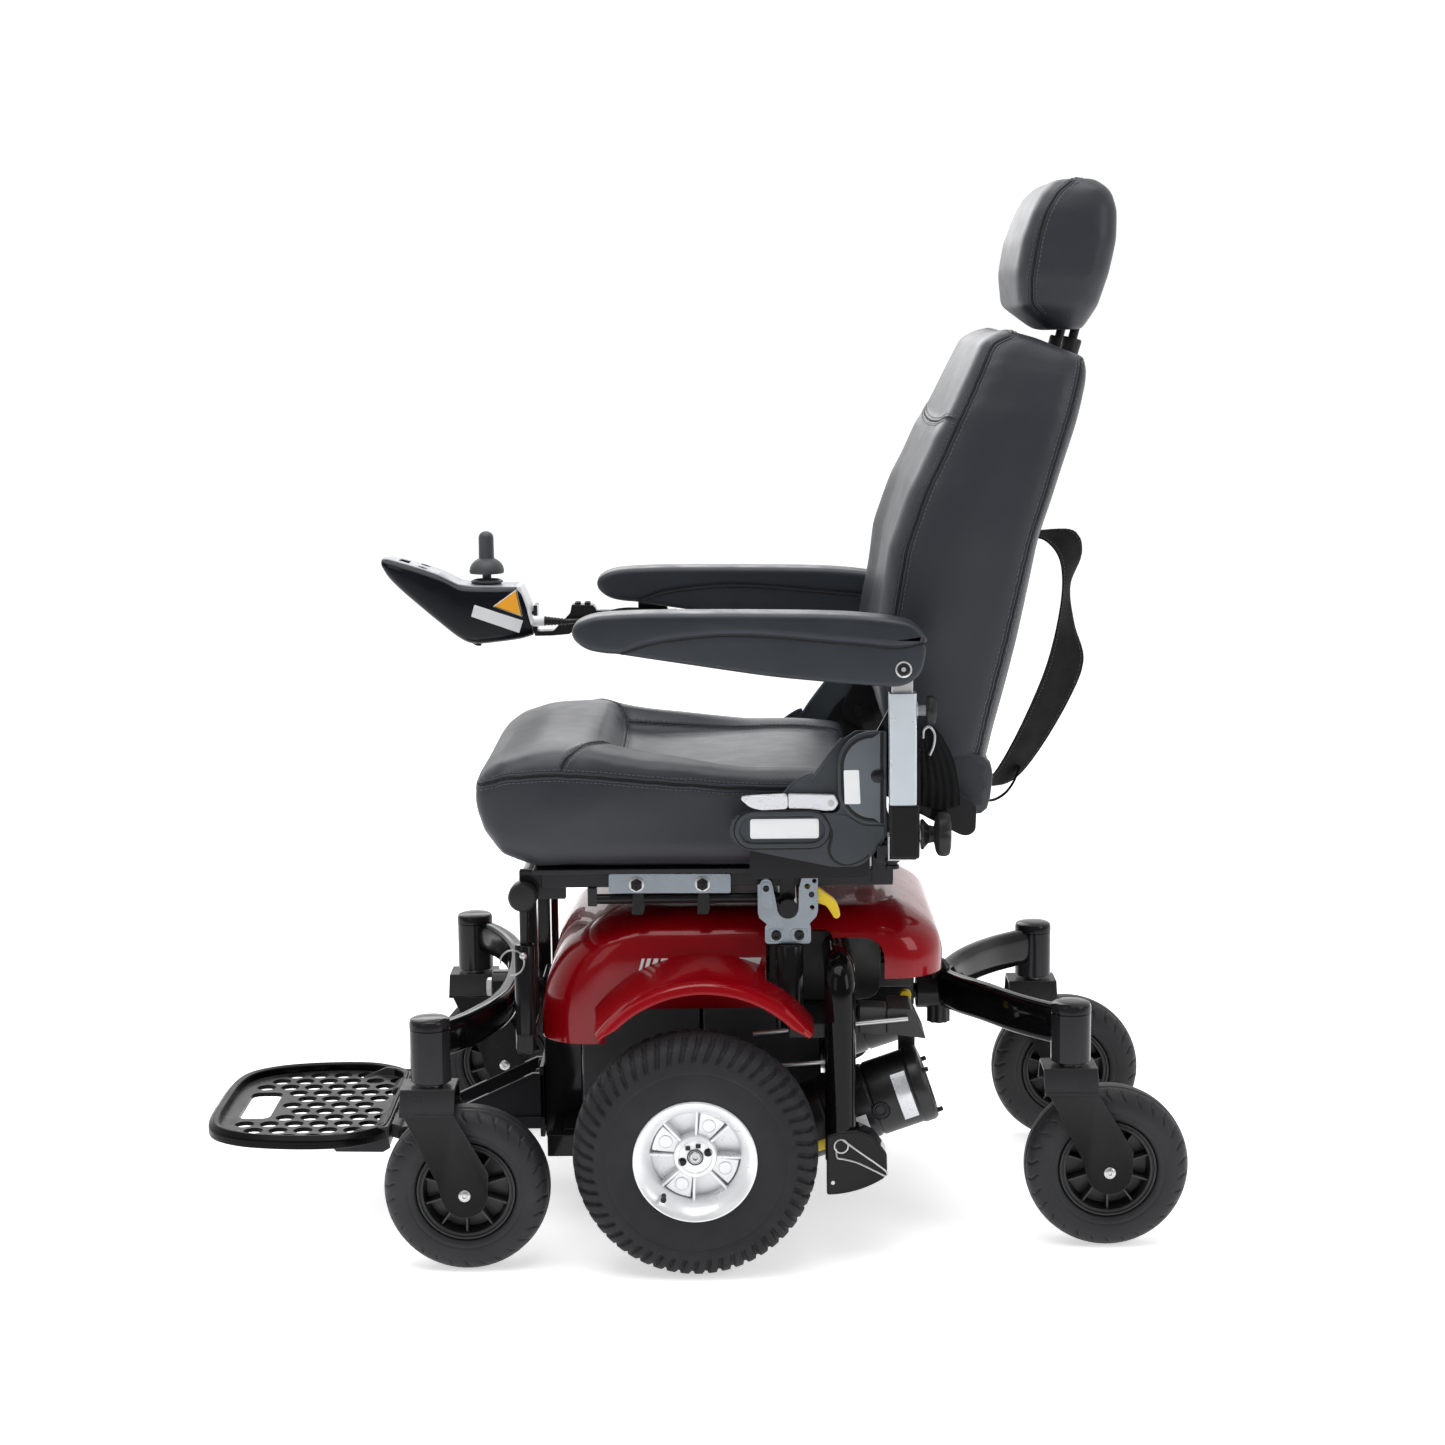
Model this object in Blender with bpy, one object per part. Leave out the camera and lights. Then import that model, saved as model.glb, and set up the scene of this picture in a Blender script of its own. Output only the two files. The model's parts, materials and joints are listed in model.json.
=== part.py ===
"""Power wheelchair with a mid-wheel-drive base, reclining seat and joystick controller.

Forward is -Y, the sitter's left is +X and up is +Z. Lengths below are in millimetres, measured from the
drive axle's middle on the floor, and become metres as each mesh is made. The origin is the middle of the
footprint, so everything hangs from one empty that shifts it lengthwise.
"""

import math

import bmesh
import bpy
from mathutils import Vector

MM = 0.001
GAP = 0.3
FOOTPRINT_SHIFT = 12.2
LEFT, RIGHT = 1, -1
SIDES = (("left", LEFT), ("right", RIGHT))

# wheels
DRIVE_R = 130.0
DRIVE_X = 266.0
DRIVE_HALF_W = 42.0
RIM_R = 60.0
RIM_BORE = 9.2
DRIVE_AXLE_R = 8.5
CASTER_R = 88.6
CASTER_HUB_R = 53.0
CASTER_AXLE_R = 5.0
BARREL_R = 21.5
STEM_R = 9.0
STEM_BORE = 9.6
FRONT_CASTER = {"x": 249.0, "y": -280.0, "trail": 36.0, "barrel": (204.0, 274.0)}
REAR_CASTER = {"x": 190.6, "y": 405.0, "trail": 39.0, "barrel": (204.0, 270.0)}
FORK_PLATE_Z = (197.0, 201.0)

# yokes rock about lengthwise pins
FRONT_PIVOT_Z = 243.0
REAR_PIVOT_Z = 234.0
YOKE_PIN_R = 9.0
YOKE_BORE = 9.4

# seat and its pivots, as (y, z)
SEAT_PIVOT = (-183.0, 391.0)
LATCH_TUBE = (101.0, 377.3)
SEAT_TUBE_R = 10.7
PAN_TOP = 419.9
BACK_PIVOT = (194.0, 528.0)
LATCH_LEVER_PIVOT = (126.0, 392.0)
RECLINE_LEVER_PIVOT = (146.0, 498.0)
FREEWHEEL_PIVOT = (231.0, 236.0)
FOOT_HINGE = (-330.0, 96.0)
HEADREST_LEAN = math.radians(15.0)

# armrests
ARM_X = 250.0
ARM_PIVOT = (220.0, 643.0)
PAD_HALF_W = 26.0
SLEEVE_TOP = 612.0
HEIGHT_KNOB_Z = 597.0
CLAMP_KNOB_Z = 466.0

# controller
CONTROL_X = -260.0
STICK = (-256.0, 672.0)
NOSE_FOOT = (-313.0, 687.0)
NOSE_TIP = (-381.0, 712.0)

GEARBOX_R = 46.0
MOTOR_R = 41.0
MOTOR_X = 170.0
MOTOR_END = (253.0, 178.0)
MOTOR_RISE = math.radians(19.0)

MATERIALS = {
    "black_paint": ((0.012, 0.012, 0.013), 0.22, 0.0),
    "fork_steel": ((0.014, 0.014, 0.015), 0.42, 0.3),
    "red_gloss": ((0.30, 0.004, 0.010), 0.12, 0.0),
    "vinyl": ((0.045, 0.048, 0.056), 0.48, 0.0),
    "arm_pad": ((0.032, 0.036, 0.043), 0.45, 0.0),
    "tyre": ((0.020, 0.020, 0.021), 0.75, 0.0),
    "caster_tyre": ((0.024, 0.024, 0.026), 0.65, 0.0),
    "rim_silver": ((0.72, 0.72, 0.74), 0.35, 0.6),
    "hub_black": ((0.013, 0.013, 0.014), 0.45, 0.0),
    "motor_black": ((0.010, 0.010, 0.011), 0.40, 0.1),
    "battery": ((0.05, 0.05, 0.055), 0.55, 0.0),
    "module": ((0.03, 0.03, 0.03), 0.50, 0.0),
    "silver_plate": ((0.60, 0.63, 0.66), 0.32, 0.9),
    "yellow": ((0.85, 0.62, 0.02), 0.40, 0.0),
    "moulded_grey": ((0.040, 0.050, 0.060), 0.50, 0.0),
    "lever_white": ((0.70, 0.72, 0.74), 0.35, 0.2),
    "silver_sleeve": ((0.62, 0.67, 0.70), 0.38, 0.5),
    "knob_black": ((0.015, 0.015, 0.016), 0.50, 0.0),
    "housing_black": ((0.008, 0.009, 0.012), 0.18, 0.0),
    "stick_grey": ((0.045, 0.048, 0.052), 0.55, 0.0),
    "button_grey": ((0.25, 0.26, 0.27), 0.50, 0.0),
    "webbing": ((0.008, 0.008, 0.009), 0.80, 0.0),
    "cable": ((0.010, 0.010, 0.010), 0.50, 0.0),
    "zinc": ((0.50, 0.50, 0.50), 0.40, 0.9),
}


# ---------------------------------------------------------------- meshes

def finish_mesh(bm, name, pivot=(0.0, 0.0, 0.0), smooth_deg=35.0):
    """A mesh in metres, measured from its pivot, with outward faces and smooth round walls."""
    bmesh.ops.remove_doubles(bm, verts=bm.verts, dist=0.001)
    bmesh.ops.recalc_face_normals(bm, faces=bm.faces)
    for vert in bm.verts:
        vert.co = (vert.co - Vector(pivot)) * MM
    mesh = bpy.data.meshes.new(name)
    bm.to_mesh(mesh)
    bm.free()
    mesh.shade_smooth()
    mesh.set_sharp_from_angle(angle=math.radians(smooth_deg))
    return mesh


def new_object(name, mesh, pivot):
    obj = bpy.data.objects.new(name, mesh)
    bpy.context.scene.collection.objects.link(obj)
    obj.location = [c * MM for c in pivot]
    obj.parent = ROOT
    return obj


def solid(name, bm, material, pivot=(0.0, 0.0, 0.0)):
    """A named sub-part whose origin is its pivot, a point on its joint's axis."""
    obj = new_object(name, finish_mesh(bm, name, pivot), pivot)
    obj.data.materials.append(MATS[material])
    return obj


def tool_object(name, bm):
    """A guide solid for a Boolean, not a sub-part."""
    obj = new_object(name, finish_mesh(bm, name), (0.0, 0.0, 0.0))
    obj.hide_render = True
    obj.display_type = "WIRE"
    return obj


def boolean(obj, bm, operation):
    tool = tool_object(f"{obj.name}.tool", bm)
    mod = obj.modifiers.new(operation.lower(), "BOOLEAN")
    mod.operation = operation
    mod.object = tool
    mod.use_self = True


def join(obj, bm):
    boolean(obj, bm, "UNION")


def cut(obj, bm):
    boolean(obj, bm, "DIFFERENCE")


def soften(obj, width, segments=2, angle=40.0):
    """Round an outline's outer edges."""
    mod = obj.modifiers.new("soften", "BEVEL")
    mod.width = width * MM
    mod.segments = segments
    mod.limit_method = "ANGLE"
    mod.angle_limit = math.radians(angle)


def skin(bm, rings, closed=False):
    """Faces between rings of equal length, capped at both ends unless the rings close on themselves."""
    rows = [[bm.verts.new(point) for point in ring] for ring in rings]
    count = len(rows[0])
    pairs = list(zip(rows, rows[1:]))
    if closed:
        pairs.append((rows[-1], rows[0]))
    else:
        bm.faces.new(rows[0])
        bm.faces.new(rows[-1])
    for first, second in pairs:
        for i in range(count):
            j = (i + 1) % count
            bm.faces.new((first[i], first[j], second[j], second[i]))


def box(bm, x, y, z):
    corners = ((x[0], y[0]), (x[1], y[0]), (x[1], y[1]), (x[0], y[1]))
    skin(bm, [[(a, b, level) for a, b in corners] for level in z])


def side_box(bm, side, x, y, z):
    """A box on one side of the chair, with x measured outwards from the middle."""
    box(bm, sorted((side * x[0], side * x[1])), y, z)


def plate(bm, outline, x):
    """An upright plate between two x values, from its (y, z) outline."""
    skin(bm, [[(level, y, z) for y, z in outline] for level in x])


def tray(bm, outline, z):
    """A level plate between two heights, from its (x, y) outline."""
    skin(bm, [[(x, y, level) for x, y in outline] for level in z])


def arc(centre, radius, start, end, count):
    """Points on an arc in degrees, ends included."""
    step = (end - start) / (count - 1)
    angles = [math.radians(start + step * i) for i in range(count)]
    return [(centre[0] + radius * math.cos(a), centre[1] + radius * math.sin(a)) for a in angles]


def rod(bm, start, end, radius, count=12):
    """A round bar between two points."""
    start, end = Vector(start), Vector(end)
    axis = (end - start).normalized()
    across = axis.orthogonal().normalized()
    other = axis.cross(across)
    angles = [math.tau * i / count for i in range(count)]
    ring = [(across * math.cos(a) + other * math.sin(a)) * radius for a in angles]
    skin(bm, [[point + offset for offset in ring] for point in (start, end)])


def turned(bm, profile, centre, count, axis="X", side=1, closed=True):
    """A ring turned about an axis: profile points are (radius, distance along the axis)."""
    rings = []
    for radius, along in profile:
        ring = []
        for i in range(count):
            a = math.tau * (i + 0.5) / count
            u, v = radius * math.cos(a), radius * math.sin(a)
            local = {"X": (side * along, u, v), "Y": (u, along, v), "Z": (u, v, along)}[axis]
            ring.append(tuple(c + d for c, d in zip(centre, local)))
        rings.append(ring)
    skin(bm, rings, closed)


def swept(bm, path, widths, heights, count=10, up=(0.0, 0.0, 1.0)):
    """An oval tube along a path, with a width across the path and a height along up."""
    points = [Vector(p) for p in path]
    rings = []
    for i, point in enumerate(points):
        ahead = points[min(i + 1, len(points) - 1)] - points[max(i - 1, 0)]
        across = ahead.cross(Vector(up)).normalized()
        rise = across.cross(ahead).normalized()
        angles = [math.tau * (k + 0.5) / count for k in range(count)]
        rings.append([
            point + across * (widths[i] / 2 * math.cos(a)) + rise * (heights[i] / 2 * math.sin(a))
            for a in angles
        ])
    skin(bm, rings)


def padded_ring(front, rear, half_w, corner, x_mid=0.0):
    """A rounded rectangle across X, between a front and a rear (y, z) point."""
    front, rear = Vector(front), Vector(rear)
    depth = (rear - front).length
    along = (rear - front) / depth
    corner = min(corner, depth * 0.45, half_w * 0.45)
    ring = []
    for cx, cy, start in ((1, 0, -90), (1, 1, 0), (-1, 1, 90), (-1, 0, 180)):
        for u, v in arc((cx * (half_w - corner), corner + cy * (depth - 2 * corner)), corner,
                        start, start + 90, 3):
            spot = front + along * v
            ring.append((x_mid + u, spot[0], spot[1]))
    return ring


def smooth_path(points, count):
    """Evenly spread points on a Catmull-Rom curve through the given ones."""
    pts = [Vector(p) for p in points]
    pts = [2 * pts[0] - pts[1]] + pts + [2 * pts[-1] - pts[-2]]
    fine = []
    for a, b, c, d in zip(pts, pts[1:], pts[2:], pts[3:]):
        for k in range(24):
            t = k / 24
            fine.append(0.5 * (2 * b + (c - a) * t + (2 * a - 5 * b + 4 * c - d) * t * t
                               + (3 * b - a - 3 * c + d) * t ** 3))
    fine.append(pts[-2])
    lengths = [0.0]
    for a, b in zip(fine, fine[1:]):
        lengths.append(lengths[-1] + (b - a).length)
    result, k = [], 0
    for i in range(count):
        want = lengths[-1] * i / (count - 1)
        while k < len(fine) - 2 and lengths[k + 1] < want:
            k += 1
        share = (want - lengths[k]) / max(lengths[k + 1] - lengths[k], 1e-9)
        result.append(fine[k].lerp(fine[k + 1], min(max(share, 0.0), 1.0)))
    return result


# ---------------------------------------------------------------- power base

def main_frame():
    bm = bmesh.new()
    box(bm, (-105, 105), (-150, 158), (98, 106))
    frame = solid("main_frame", bm, "black_paint")
    bm = bmesh.new()
    box(bm, (-30, 30), (-176, -133), (73, 262))
    box(bm, (-203, 203), (-192, -174), (220, 240))
    rod(bm, (0, -150, FRONT_PIVOT_Z), (0, -238, FRONT_PIVOT_Z), YOKE_PIN_R)
    box(bm, (-20, 20), (150, 247), (222, 256))
    rod(bm, (0, 200, REAR_PIVOT_Z), (0, 298, REAR_PIVOT_Z), YOKE_PIN_R)
    box(bm, (-122, 122), (143, 160), (80, 262))
    for _, side in SIDES:
        side_box(bm, side, (100, 120), (-168, 159), (78, 103))
        side_box(bm, side, (95, 125), (144, 159), (240, 331))
        side_box(bm, side, (90, 112), (-191, -175), (230, 372))
        side_box(bm, side, (110, 258), (95, 166), (240, 256))
        side_box(bm, side, (116, 151.6), (-40, 22), (86, 128))
        side_box(bm, side, (24, 108), (-165, -145), (80, 99))
        rod(bm, (side * 190, -183, 224), (side * 190, -183, 338), 11)
        rod(bm, (side * 186, -183, 330), (side * 186, -183, 377), 4.5, 8)
        rod(bm, (side * 200, 102, 245), (side * 200, 102, 338), 15)
        guard = [(240, 154.5, 118), (240, 154.5, 292), (236, 154.5, 308), (222, 154.5, 317),
                 (112, 154.5, 316)]
        swept(bm, [(side * x, y, z) for x, y, z in guard], [33] * 5, [33] * 5, 12, (0, 1, 0))
        shoe = [(139, 140), (172, 148), (203, 118), (203, 97), (190, 88), (172, 81), (144, 77)]
        plate(bm, shoe, sorted((side * 222, side * 258)))
    join(frame, bm)
    bm = bmesh.new()
    for _, side in SIDES:
        turned(bm, [(15.5, 179), (15.5, 192), (11.2, 192), (11.2, 179)],
               (0, *SEAT_PIVOT), 16, side=side)
    join(frame, bm)


def batteries():
    for name, start in (("battery_front", -128), ("battery_rear", 7)):
        bm = bmesh.new()
        box(bm, (-98, 98), (start, start + 131), (106.3, 272))
        case = solid(name, bm, "battery")
        soften(case, 3, 1)
        bm = bmesh.new()
        box(bm, (-95, 95), (start + 3, start + 128), (262, 283))
        for x in (-75, 75):
            box(bm, (x - 8, x + 8), (start + 12, start + 28), (270, 290))
        join(case, bm)


def control_module():
    bm = bmesh.new()
    box(bm, (-70, 70), (166, 240), (256.3, 290))
    soften(solid("control_module", bm, "module"), 4, 1)


def shroud_ring(level, front, rear, half_w, corner, inset):
    """One level of the shroud: a rounded rectangle, inset for the inner face."""
    front, rear, half_w = front + inset, rear - inset, half_w - inset
    corner = max(corner - inset, 6)
    ring = []
    corners = ((1, rear - corner, 0), (-1, rear - corner, 90), (-1, front + corner, 180),
               (1, front + corner, 270))
    for sx, cy, start in corners:
        ring += arc((sx * (half_w - corner), cy), corner, start, start + 90, 4)
    return [(x, y, level) for x, y in ring]


def shroud():
    levels = [(223, -170, 263, 178, 52), (284, -163, 270, 178, 56), (318, -146, 271, 178, 60),
              (340, -122, 262, 174, 60), (356, -92, 240, 160, 60), (366, -60, 214, 138, 56)]
    bm = bmesh.new()
    skin(bm, [shroud_ring(*level, 0) for level in levels])
    shell = solid("shroud", bm, "red_gloss")
    hollow = bmesh.new()
    skin(hollow, [shroud_ring(z - 4 if z > 223 else 210, *rest, 4) for z, *rest in levels])
    cut(shell, hollow)

    trims = bmesh.new()
    box(trims, (-300, 300), (-98, 79), (200, 262))
    box(trims, (-300, 300), (204, 300), (200, 293))
    box(trims, (-38, 38), (-190, -140), (200, 268))
    for _, side in SIDES:
        side_box(trims, side, (140, 300), (78, 205), (200, 338))
    cut(shell, trims)

    arches = bmesh.new()
    centre = (10.5, 173.0)
    outer = arc(centre, 144, 36.7, 143.3, 9)
    inner = arc(centre, 140, 143.3, 36.7, 9)
    edge = arc(centre, 143.3, 37.5, 142.5, 9) + arc(centre, 131, 142.5, 37.5, 9)
    for _, side in SIDES:
        plate(arches, outer + inner, sorted((side * 175, side * 281)))
        plate(arches, edge, sorted((side * 279, side * 283)))
    notches = bmesh.new()
    for _, side in SIDES:
        side_box(notches, side, (160, 219), (76, 150), (230, 345))
    join(shell, arches)
    cut(shell, notches)


def gearmotor(name, side):
    bm = bmesh.new()
    turned(bm, [(GEARBOX_R, 152), (GEARBOX_R, 219)], (0, 0, DRIVE_R), 20, side=side, closed=False)
    motor = solid(f"{name}_gearmotor", bm, "motor_black")
    bm = bmesh.new()
    length = 215
    start = (side * MOTOR_X, MOTOR_END[0] - length * math.cos(MOTOR_RISE),
             MOTOR_END[1] - length * math.sin(MOTOR_RISE))
    rod(bm, start, (side * MOTOR_X, *MOTOR_END), MOTOR_R, 20)
    rod(bm, (side * 200, 0, DRIVE_R), (side * 274, 0, DRIVE_R), DRIVE_AXLE_R)
    side_box(bm, side, (129, 142), (222, 240), (196, 243))
    rod(bm, (side * 132, *FREEWHEEL_PIVOT), (side * 115.5, *FREEWHEEL_PIVOT), 3, 8)
    join(motor, bm)


def freewheel_lever(name, side):
    y, z = FREEWHEEL_PIVOT
    outline = [(y - 7, z - 6), (y + 7, z - 6), (y + 7, z + 24), (y + 4, z + 31), (y - 4, z + 31),
               (y - 7, z + 24)]
    bm = bmesh.new()
    plate(bm, outline, sorted((side * 117, side * 127)))
    lever = solid(f"{name}_freewheel_lever", bm, "yellow", (side * 122, y, z))
    bore = bmesh.new()
    rod(bore, (side * 110, y, z), (side * 128.5, y, z), 3.5, 8)
    cut(lever, bore)


def drive_wheel(name, side):
    centre = (side * DRIVE_X, 0, DRIVE_R)
    count = 28
    grow = 1 / math.cos(math.pi / count)
    half = [(RIM_R + GAP, 34), (80, DRIVE_HALF_W), (112, DRIVE_HALF_W), (126, 31), (DRIVE_R, 15)]
    profile = half + [(r, -x) for r, x in reversed(half)]
    bm = bmesh.new()
    turned(bm, [(r * grow, x) for r, x in profile], centre, count)
    solid(f"{name}_drive_tyre", bm, "tyre", centre)

    section = [(22, 28), (24, 16), (47, 16), (52, 36), (58, 36), (RIM_R, 33), (RIM_R, -33), (52, -33),
               (50, 8), (20, 8), (20, -33), (RIM_BORE, -33), (RIM_BORE, 10)]
    bm = bmesh.new()
    turned(bm, section, centre, count, side=side, closed=False)
    rim = solid(f"{name}_drive_rim", bm, "rim_silver", centre)
    windows = bmesh.new()
    for k in range(4):
        turn = 20 + 90 * k
        inner = arc((0, DRIVE_R), 27, turn - 14, turn + 14, 2)
        outer = arc((0, DRIVE_R), 44, turn + 18, turn - 18, 3)
        plate(windows, inner + outer, sorted((side * (DRIVE_X + 4), side * (DRIVE_X + 20))))
    cut(rim, windows)


def yoke(name, path, height, pivot_z, sleeve, caster):
    """A curved oval cross tube ending in caster barrels, with a pivot sleeve in the middle."""
    middle = [(x, y, z) for x, y, z in path]
    run = [(-x, y, z) for x, y, z in reversed(middle[1:])] + middle
    bm = bmesh.new()
    turned(bm, [(19.5, sleeve[0]), (19.5, sleeve[1])], (0, 0, pivot_z), 16, "Y", closed=False)
    body = solid(name, bm, "black_paint", (0, sum(sleeve) / 2, pivot_z))
    bm = bmesh.new()
    swept(bm, run, [21] * len(run), [height] * len(run), 10)
    if name == "rear_yoke":
        for low, high in ((203, 222), (246, 267)):
            rod(bm, (0, 276, low), (0, 276, high), 10, 10)
    for side in (LEFT, RIGHT):
        low, high = caster["barrel"]
        rod(bm, (side * caster["x"], caster["y"], low), (side * caster["x"], caster["y"], high),
            BARREL_R, 16)
    join(body, bm)
    bm = bmesh.new()
    rod(bm, (0, sleeve[0] - 20, pivot_z), (0, sleeve[1] + 20, pivot_z), YOKE_BORE)
    for side in (LEFT, RIGHT):
        low, high = caster["barrel"]
        rod(bm, (side * caster["x"], caster["y"], low - 9),
            (side * caster["x"], caster["y"], high - 8), STEM_BORE)
    cut(body, bm)


def yokes():
    front = [(0, -211, 244), (60, -212, 245), (110, -217, 246), (160, -229, 247), (205, -247, 247),
             (238, -268, 247), (249, -280, 247)]
    rear = [(0, 283, 240), (45, 296, 242), (90, 321, 244), (135, 351, 243), (170, 383, 242),
            (190.6, 405, 242)]
    yoke("front_yoke", front, 37, FRONT_PIVOT_Z, (-236, -196), FRONT_CASTER)
    yoke("rear_yoke", rear, 42, REAR_PIVOT_Z, (250, 296), REAR_CASTER)


def caster_wheel(name, spot, side):
    x, y = side * spot["x"], spot["y"]
    axle_y = y + spot["trail"]
    bm = bmesh.new()
    box(bm, (x - 35, x + 35), (y - 33, y + 27), FORK_PLATE_Z)
    fork = solid(f"{name}_fork", bm, "fork_steel", (x, y, FORK_PLATE_Z[1]))
    leg = [(y - 25, 199), (y + 23, 199), (axle_y + 22, 106)]
    leg += arc((axle_y, CASTER_R), 24, 20, -160, 6)
    bm = bmesh.new()
    for face in (-1, 1):
        plate(bm, leg, sorted((x + face * 31, x + face * 34.6)))
        rod(bm, (x + face * 34, axle_y, CASTER_R), (x + face * 38, axle_y, CASTER_R), 8, 6)
    rod(bm, (x - 35.5, axle_y, CASTER_R), (x + 35.5, axle_y, CASTER_R), CASTER_AXLE_R)
    rod(bm, (x, y, 199), (x, y, 262), STEM_R)
    join(fork, bm)

    count = 20
    grow = 1 / math.cos(math.pi / count)
    centre = (x, axle_y, CASTER_R)
    half = [(CASTER_HUB_R + GAP, 21), (66, 25), (80, 22.5), (CASTER_R, 10)]
    profile = half + [(r, -w) for r, w in reversed(half)]
    bm = bmesh.new()
    turned(bm, [(r * grow, w) for r, w in profile], centre, count)
    solid(f"{name}_tyre", bm, "caster_tyre", centre)
    half = [(5.5, 22), (17, 22), (42, 8), (CASTER_HUB_R, 20)]
    bm = bmesh.new()
    turned(bm, half + [(r, -w) for r, w in reversed(half)], centre, count)
    solid(f"{name}_hub", bm, "hub_black", centre)


def seat_latch(name, side):
    """The silver catch plate that the seat's rear tube drops into, and its sprung release lever."""
    outline = [(68.5, 372.6), (68.5, 405), (75, 409.6), (82.3, 406), (89.2, 377)]
    outline += arc((100.6, 377.3), 11.5, 185, 355, 7)
    outline += [(113.2, 403), (118, 413), (132.7, 413), (132.7, 372.6), (122, 356.5), (125, 352),
                (125, 338.4), (76, 338.4), (76, 352), (80.7, 356.5)]
    bm = bmesh.new()
    plate(bm, outline, sorted((side * 197, side * 202)))
    latch = solid(f"{name}_seat_latch", bm, "silver_plate")
    pin = bmesh.new()
    rod(pin, (side * 199, *LATCH_LEVER_PIVOT), (side * 188.5, *LATCH_LEVER_PIVOT), 3, 8)
    join(latch, pin)

    y, z = LATCH_LEVER_PIVOT
    outline = [(114, 396), (114, 389.5), (120, 385), (131, 381), (141, 378), (150, 364), (157, 367),
               (152, 383), (141, 392), (134, 399), (124, 401)]
    bm = bmesh.new()
    plate(bm, outline, sorted((side * 189.5, side * 196)))
    lever = solid(f"{name}_latch_lever", bm, "yellow", (side * 193, y, z))
    bore = bmesh.new()
    rod(bore, (side * 180, y, z), (side * 199, y, z), 3.5, 8)
    cut(lever, bore)


def footrest():
    y, z = FOOT_HINGE
    bm = bmesh.new()
    box(bm, (-42, 42), (y + 6, -176.3), (86, 100))
    bracket = solid("footrest_bracket", bm, "black_paint")
    bm = bmesh.new()
    for x in (-34, 34):
        plate(bm, [(-176.3, 90), (-176.3, 150), (-190, 150), (-300, 99), (-300, 90)],
              (x - 4, x + 4))
    box(bm, (-38, 38), (-182, -176.3), (75, 158))
    rod(bm, (-44, y, z), (44, y, z), 9)
    rod(bm, (-92, y, z), (92, y, z), 4)
    join(bracket, bm)

    bm = bmesh.new()
    half = [(100, -345), (120, -352), (148, -386), (153, -420), (150, -470), (138, -515), (112, -545),
            (80, -557)]
    tray(bm, half + [(-x, w) for x, w in reversed(half)], (99, 113))
    foot = solid("footplate", bm, "black_paint", (0, y, z))
    bm = bmesh.new()
    dish = [(92, -352), (112, -360), (139, -390), (144, -422), (141, -468), (130, -508), (107, -536),
            (78, -547)]
    tray(bm, dish + [(-x, w) for x, w in reversed(dish)], (104, 130))
    tray(bm, [(72, -476), (72, -520), (-72, -520), (-72, -476)], (90, 130))
    cut(foot, bm)
    bm = bmesh.new()
    for side in (LEFT, RIGHT):
        rod(bm, (side * 47, y, z), (side * 90, y, z), 9)
        plate(bm, [(y + 2, z + 6), (y - 22, z + 14), (y - 30, z + 8), (y - 26, z + 1), (y - 2, z - 7)],
              sorted((side * 48, side * 89)))
    join(foot, bm)
    bore = bmesh.new()
    rod(bore, (-95, y, z), (95, y, z), 4.5)
    cut(foot, bore)


# ---------------------------------------------------------------- seat

def seat_frame():
    bm = bmesh.new()
    box(bm, (-195, 195), (-172, 189), (414.5, PAN_TOP))
    frame = solid("seat_frame", bm, "black_paint", (0, *SEAT_PIVOT))
    bm = bmesh.new()
    rod(bm, (-194, *SEAT_PIVOT), (194, *SEAT_PIVOT), SEAT_TUBE_R, 16)
    rod(bm, (-206, *LATCH_TUBE), (206, *LATCH_TUBE), SEAT_TUBE_R, 16)
    box(bm, (-216, 216), (190, 215), (432, 457))
    for _, side in SIDES:
        rod(bm, (side * 192.4, *SEAT_PIVOT), (side * 201, *SEAT_PIVOT), 15.5, 16)
        side_box(bm, side, (166, 177), (-188, -138), (384, 416))
        side_box(bm, side, (166, 189), (-164, 214), (398, 416))
        side_box(bm, side, (186, 193), (-91, 41), (393, 419))
        side_box(bm, side, (166, 188), (92, 109), (374, 416))
        rod(bm, (side * 182, -111, 388), (side * 182, 96, 388), 5.5, 8)
        side_box(bm, side, (179, 185), (-110, -104), (386, 400))
        side_box(bm, side, (166, 188), (191, 214), (402, 434))
        side_box(bm, side, (188, 228.3), (64, 184), (415, 419))
        hinge_plate = [(60, 415.5), (187, 415.5), (187, 482), (206, 508), (214, 528), (208, 542),
                       (194, 548), (178, 544), (165, 530), (150, 505), (70, 470), (60, 440)]
        plate(bm, hinge_plate, sorted((side * 225, side * 228.5)))
        rod(bm, (side * 227, *BACK_PIVOT), (side * 219.8, *BACK_PIVOT), 6)
        rod(bm, (side * 226, *RECLINE_LEVER_PIVOT), (side * 242, *RECLINE_LEVER_PIVOT), 3.5, 8)
    join(frame, bm)
    bores = bmesh.new()
    box(bores, (-230, 230), (193, 212), (435, 454))
    cut(frame, bores)


def seat_cushion():
    stations = [(-246, 486, 512, 196), (-236, 452, 532, 208), (-214, 428, 542, 214),
                (-170, PAN_TOP + GAP, 549, 216), (-110, PAN_TOP + GAP, 551, 216),
                (-50, PAN_TOP + GAP, 541, 216), (60, PAN_TOP + GAP, 529, 216),
                (150, PAN_TOP + GAP, 527, 215), (184, 424, 526, 210)]
    rings = []
    for y, low, high, half_w in stations:
        ring = padded_ring((0, low), (0, high), half_w, 16)
        rings.append([(x, y, z) for x, _, z in ring])
    bm = bmesh.new()
    skin(bm, rings)
    solid("seat_cushion", bm, "vinyl")


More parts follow.
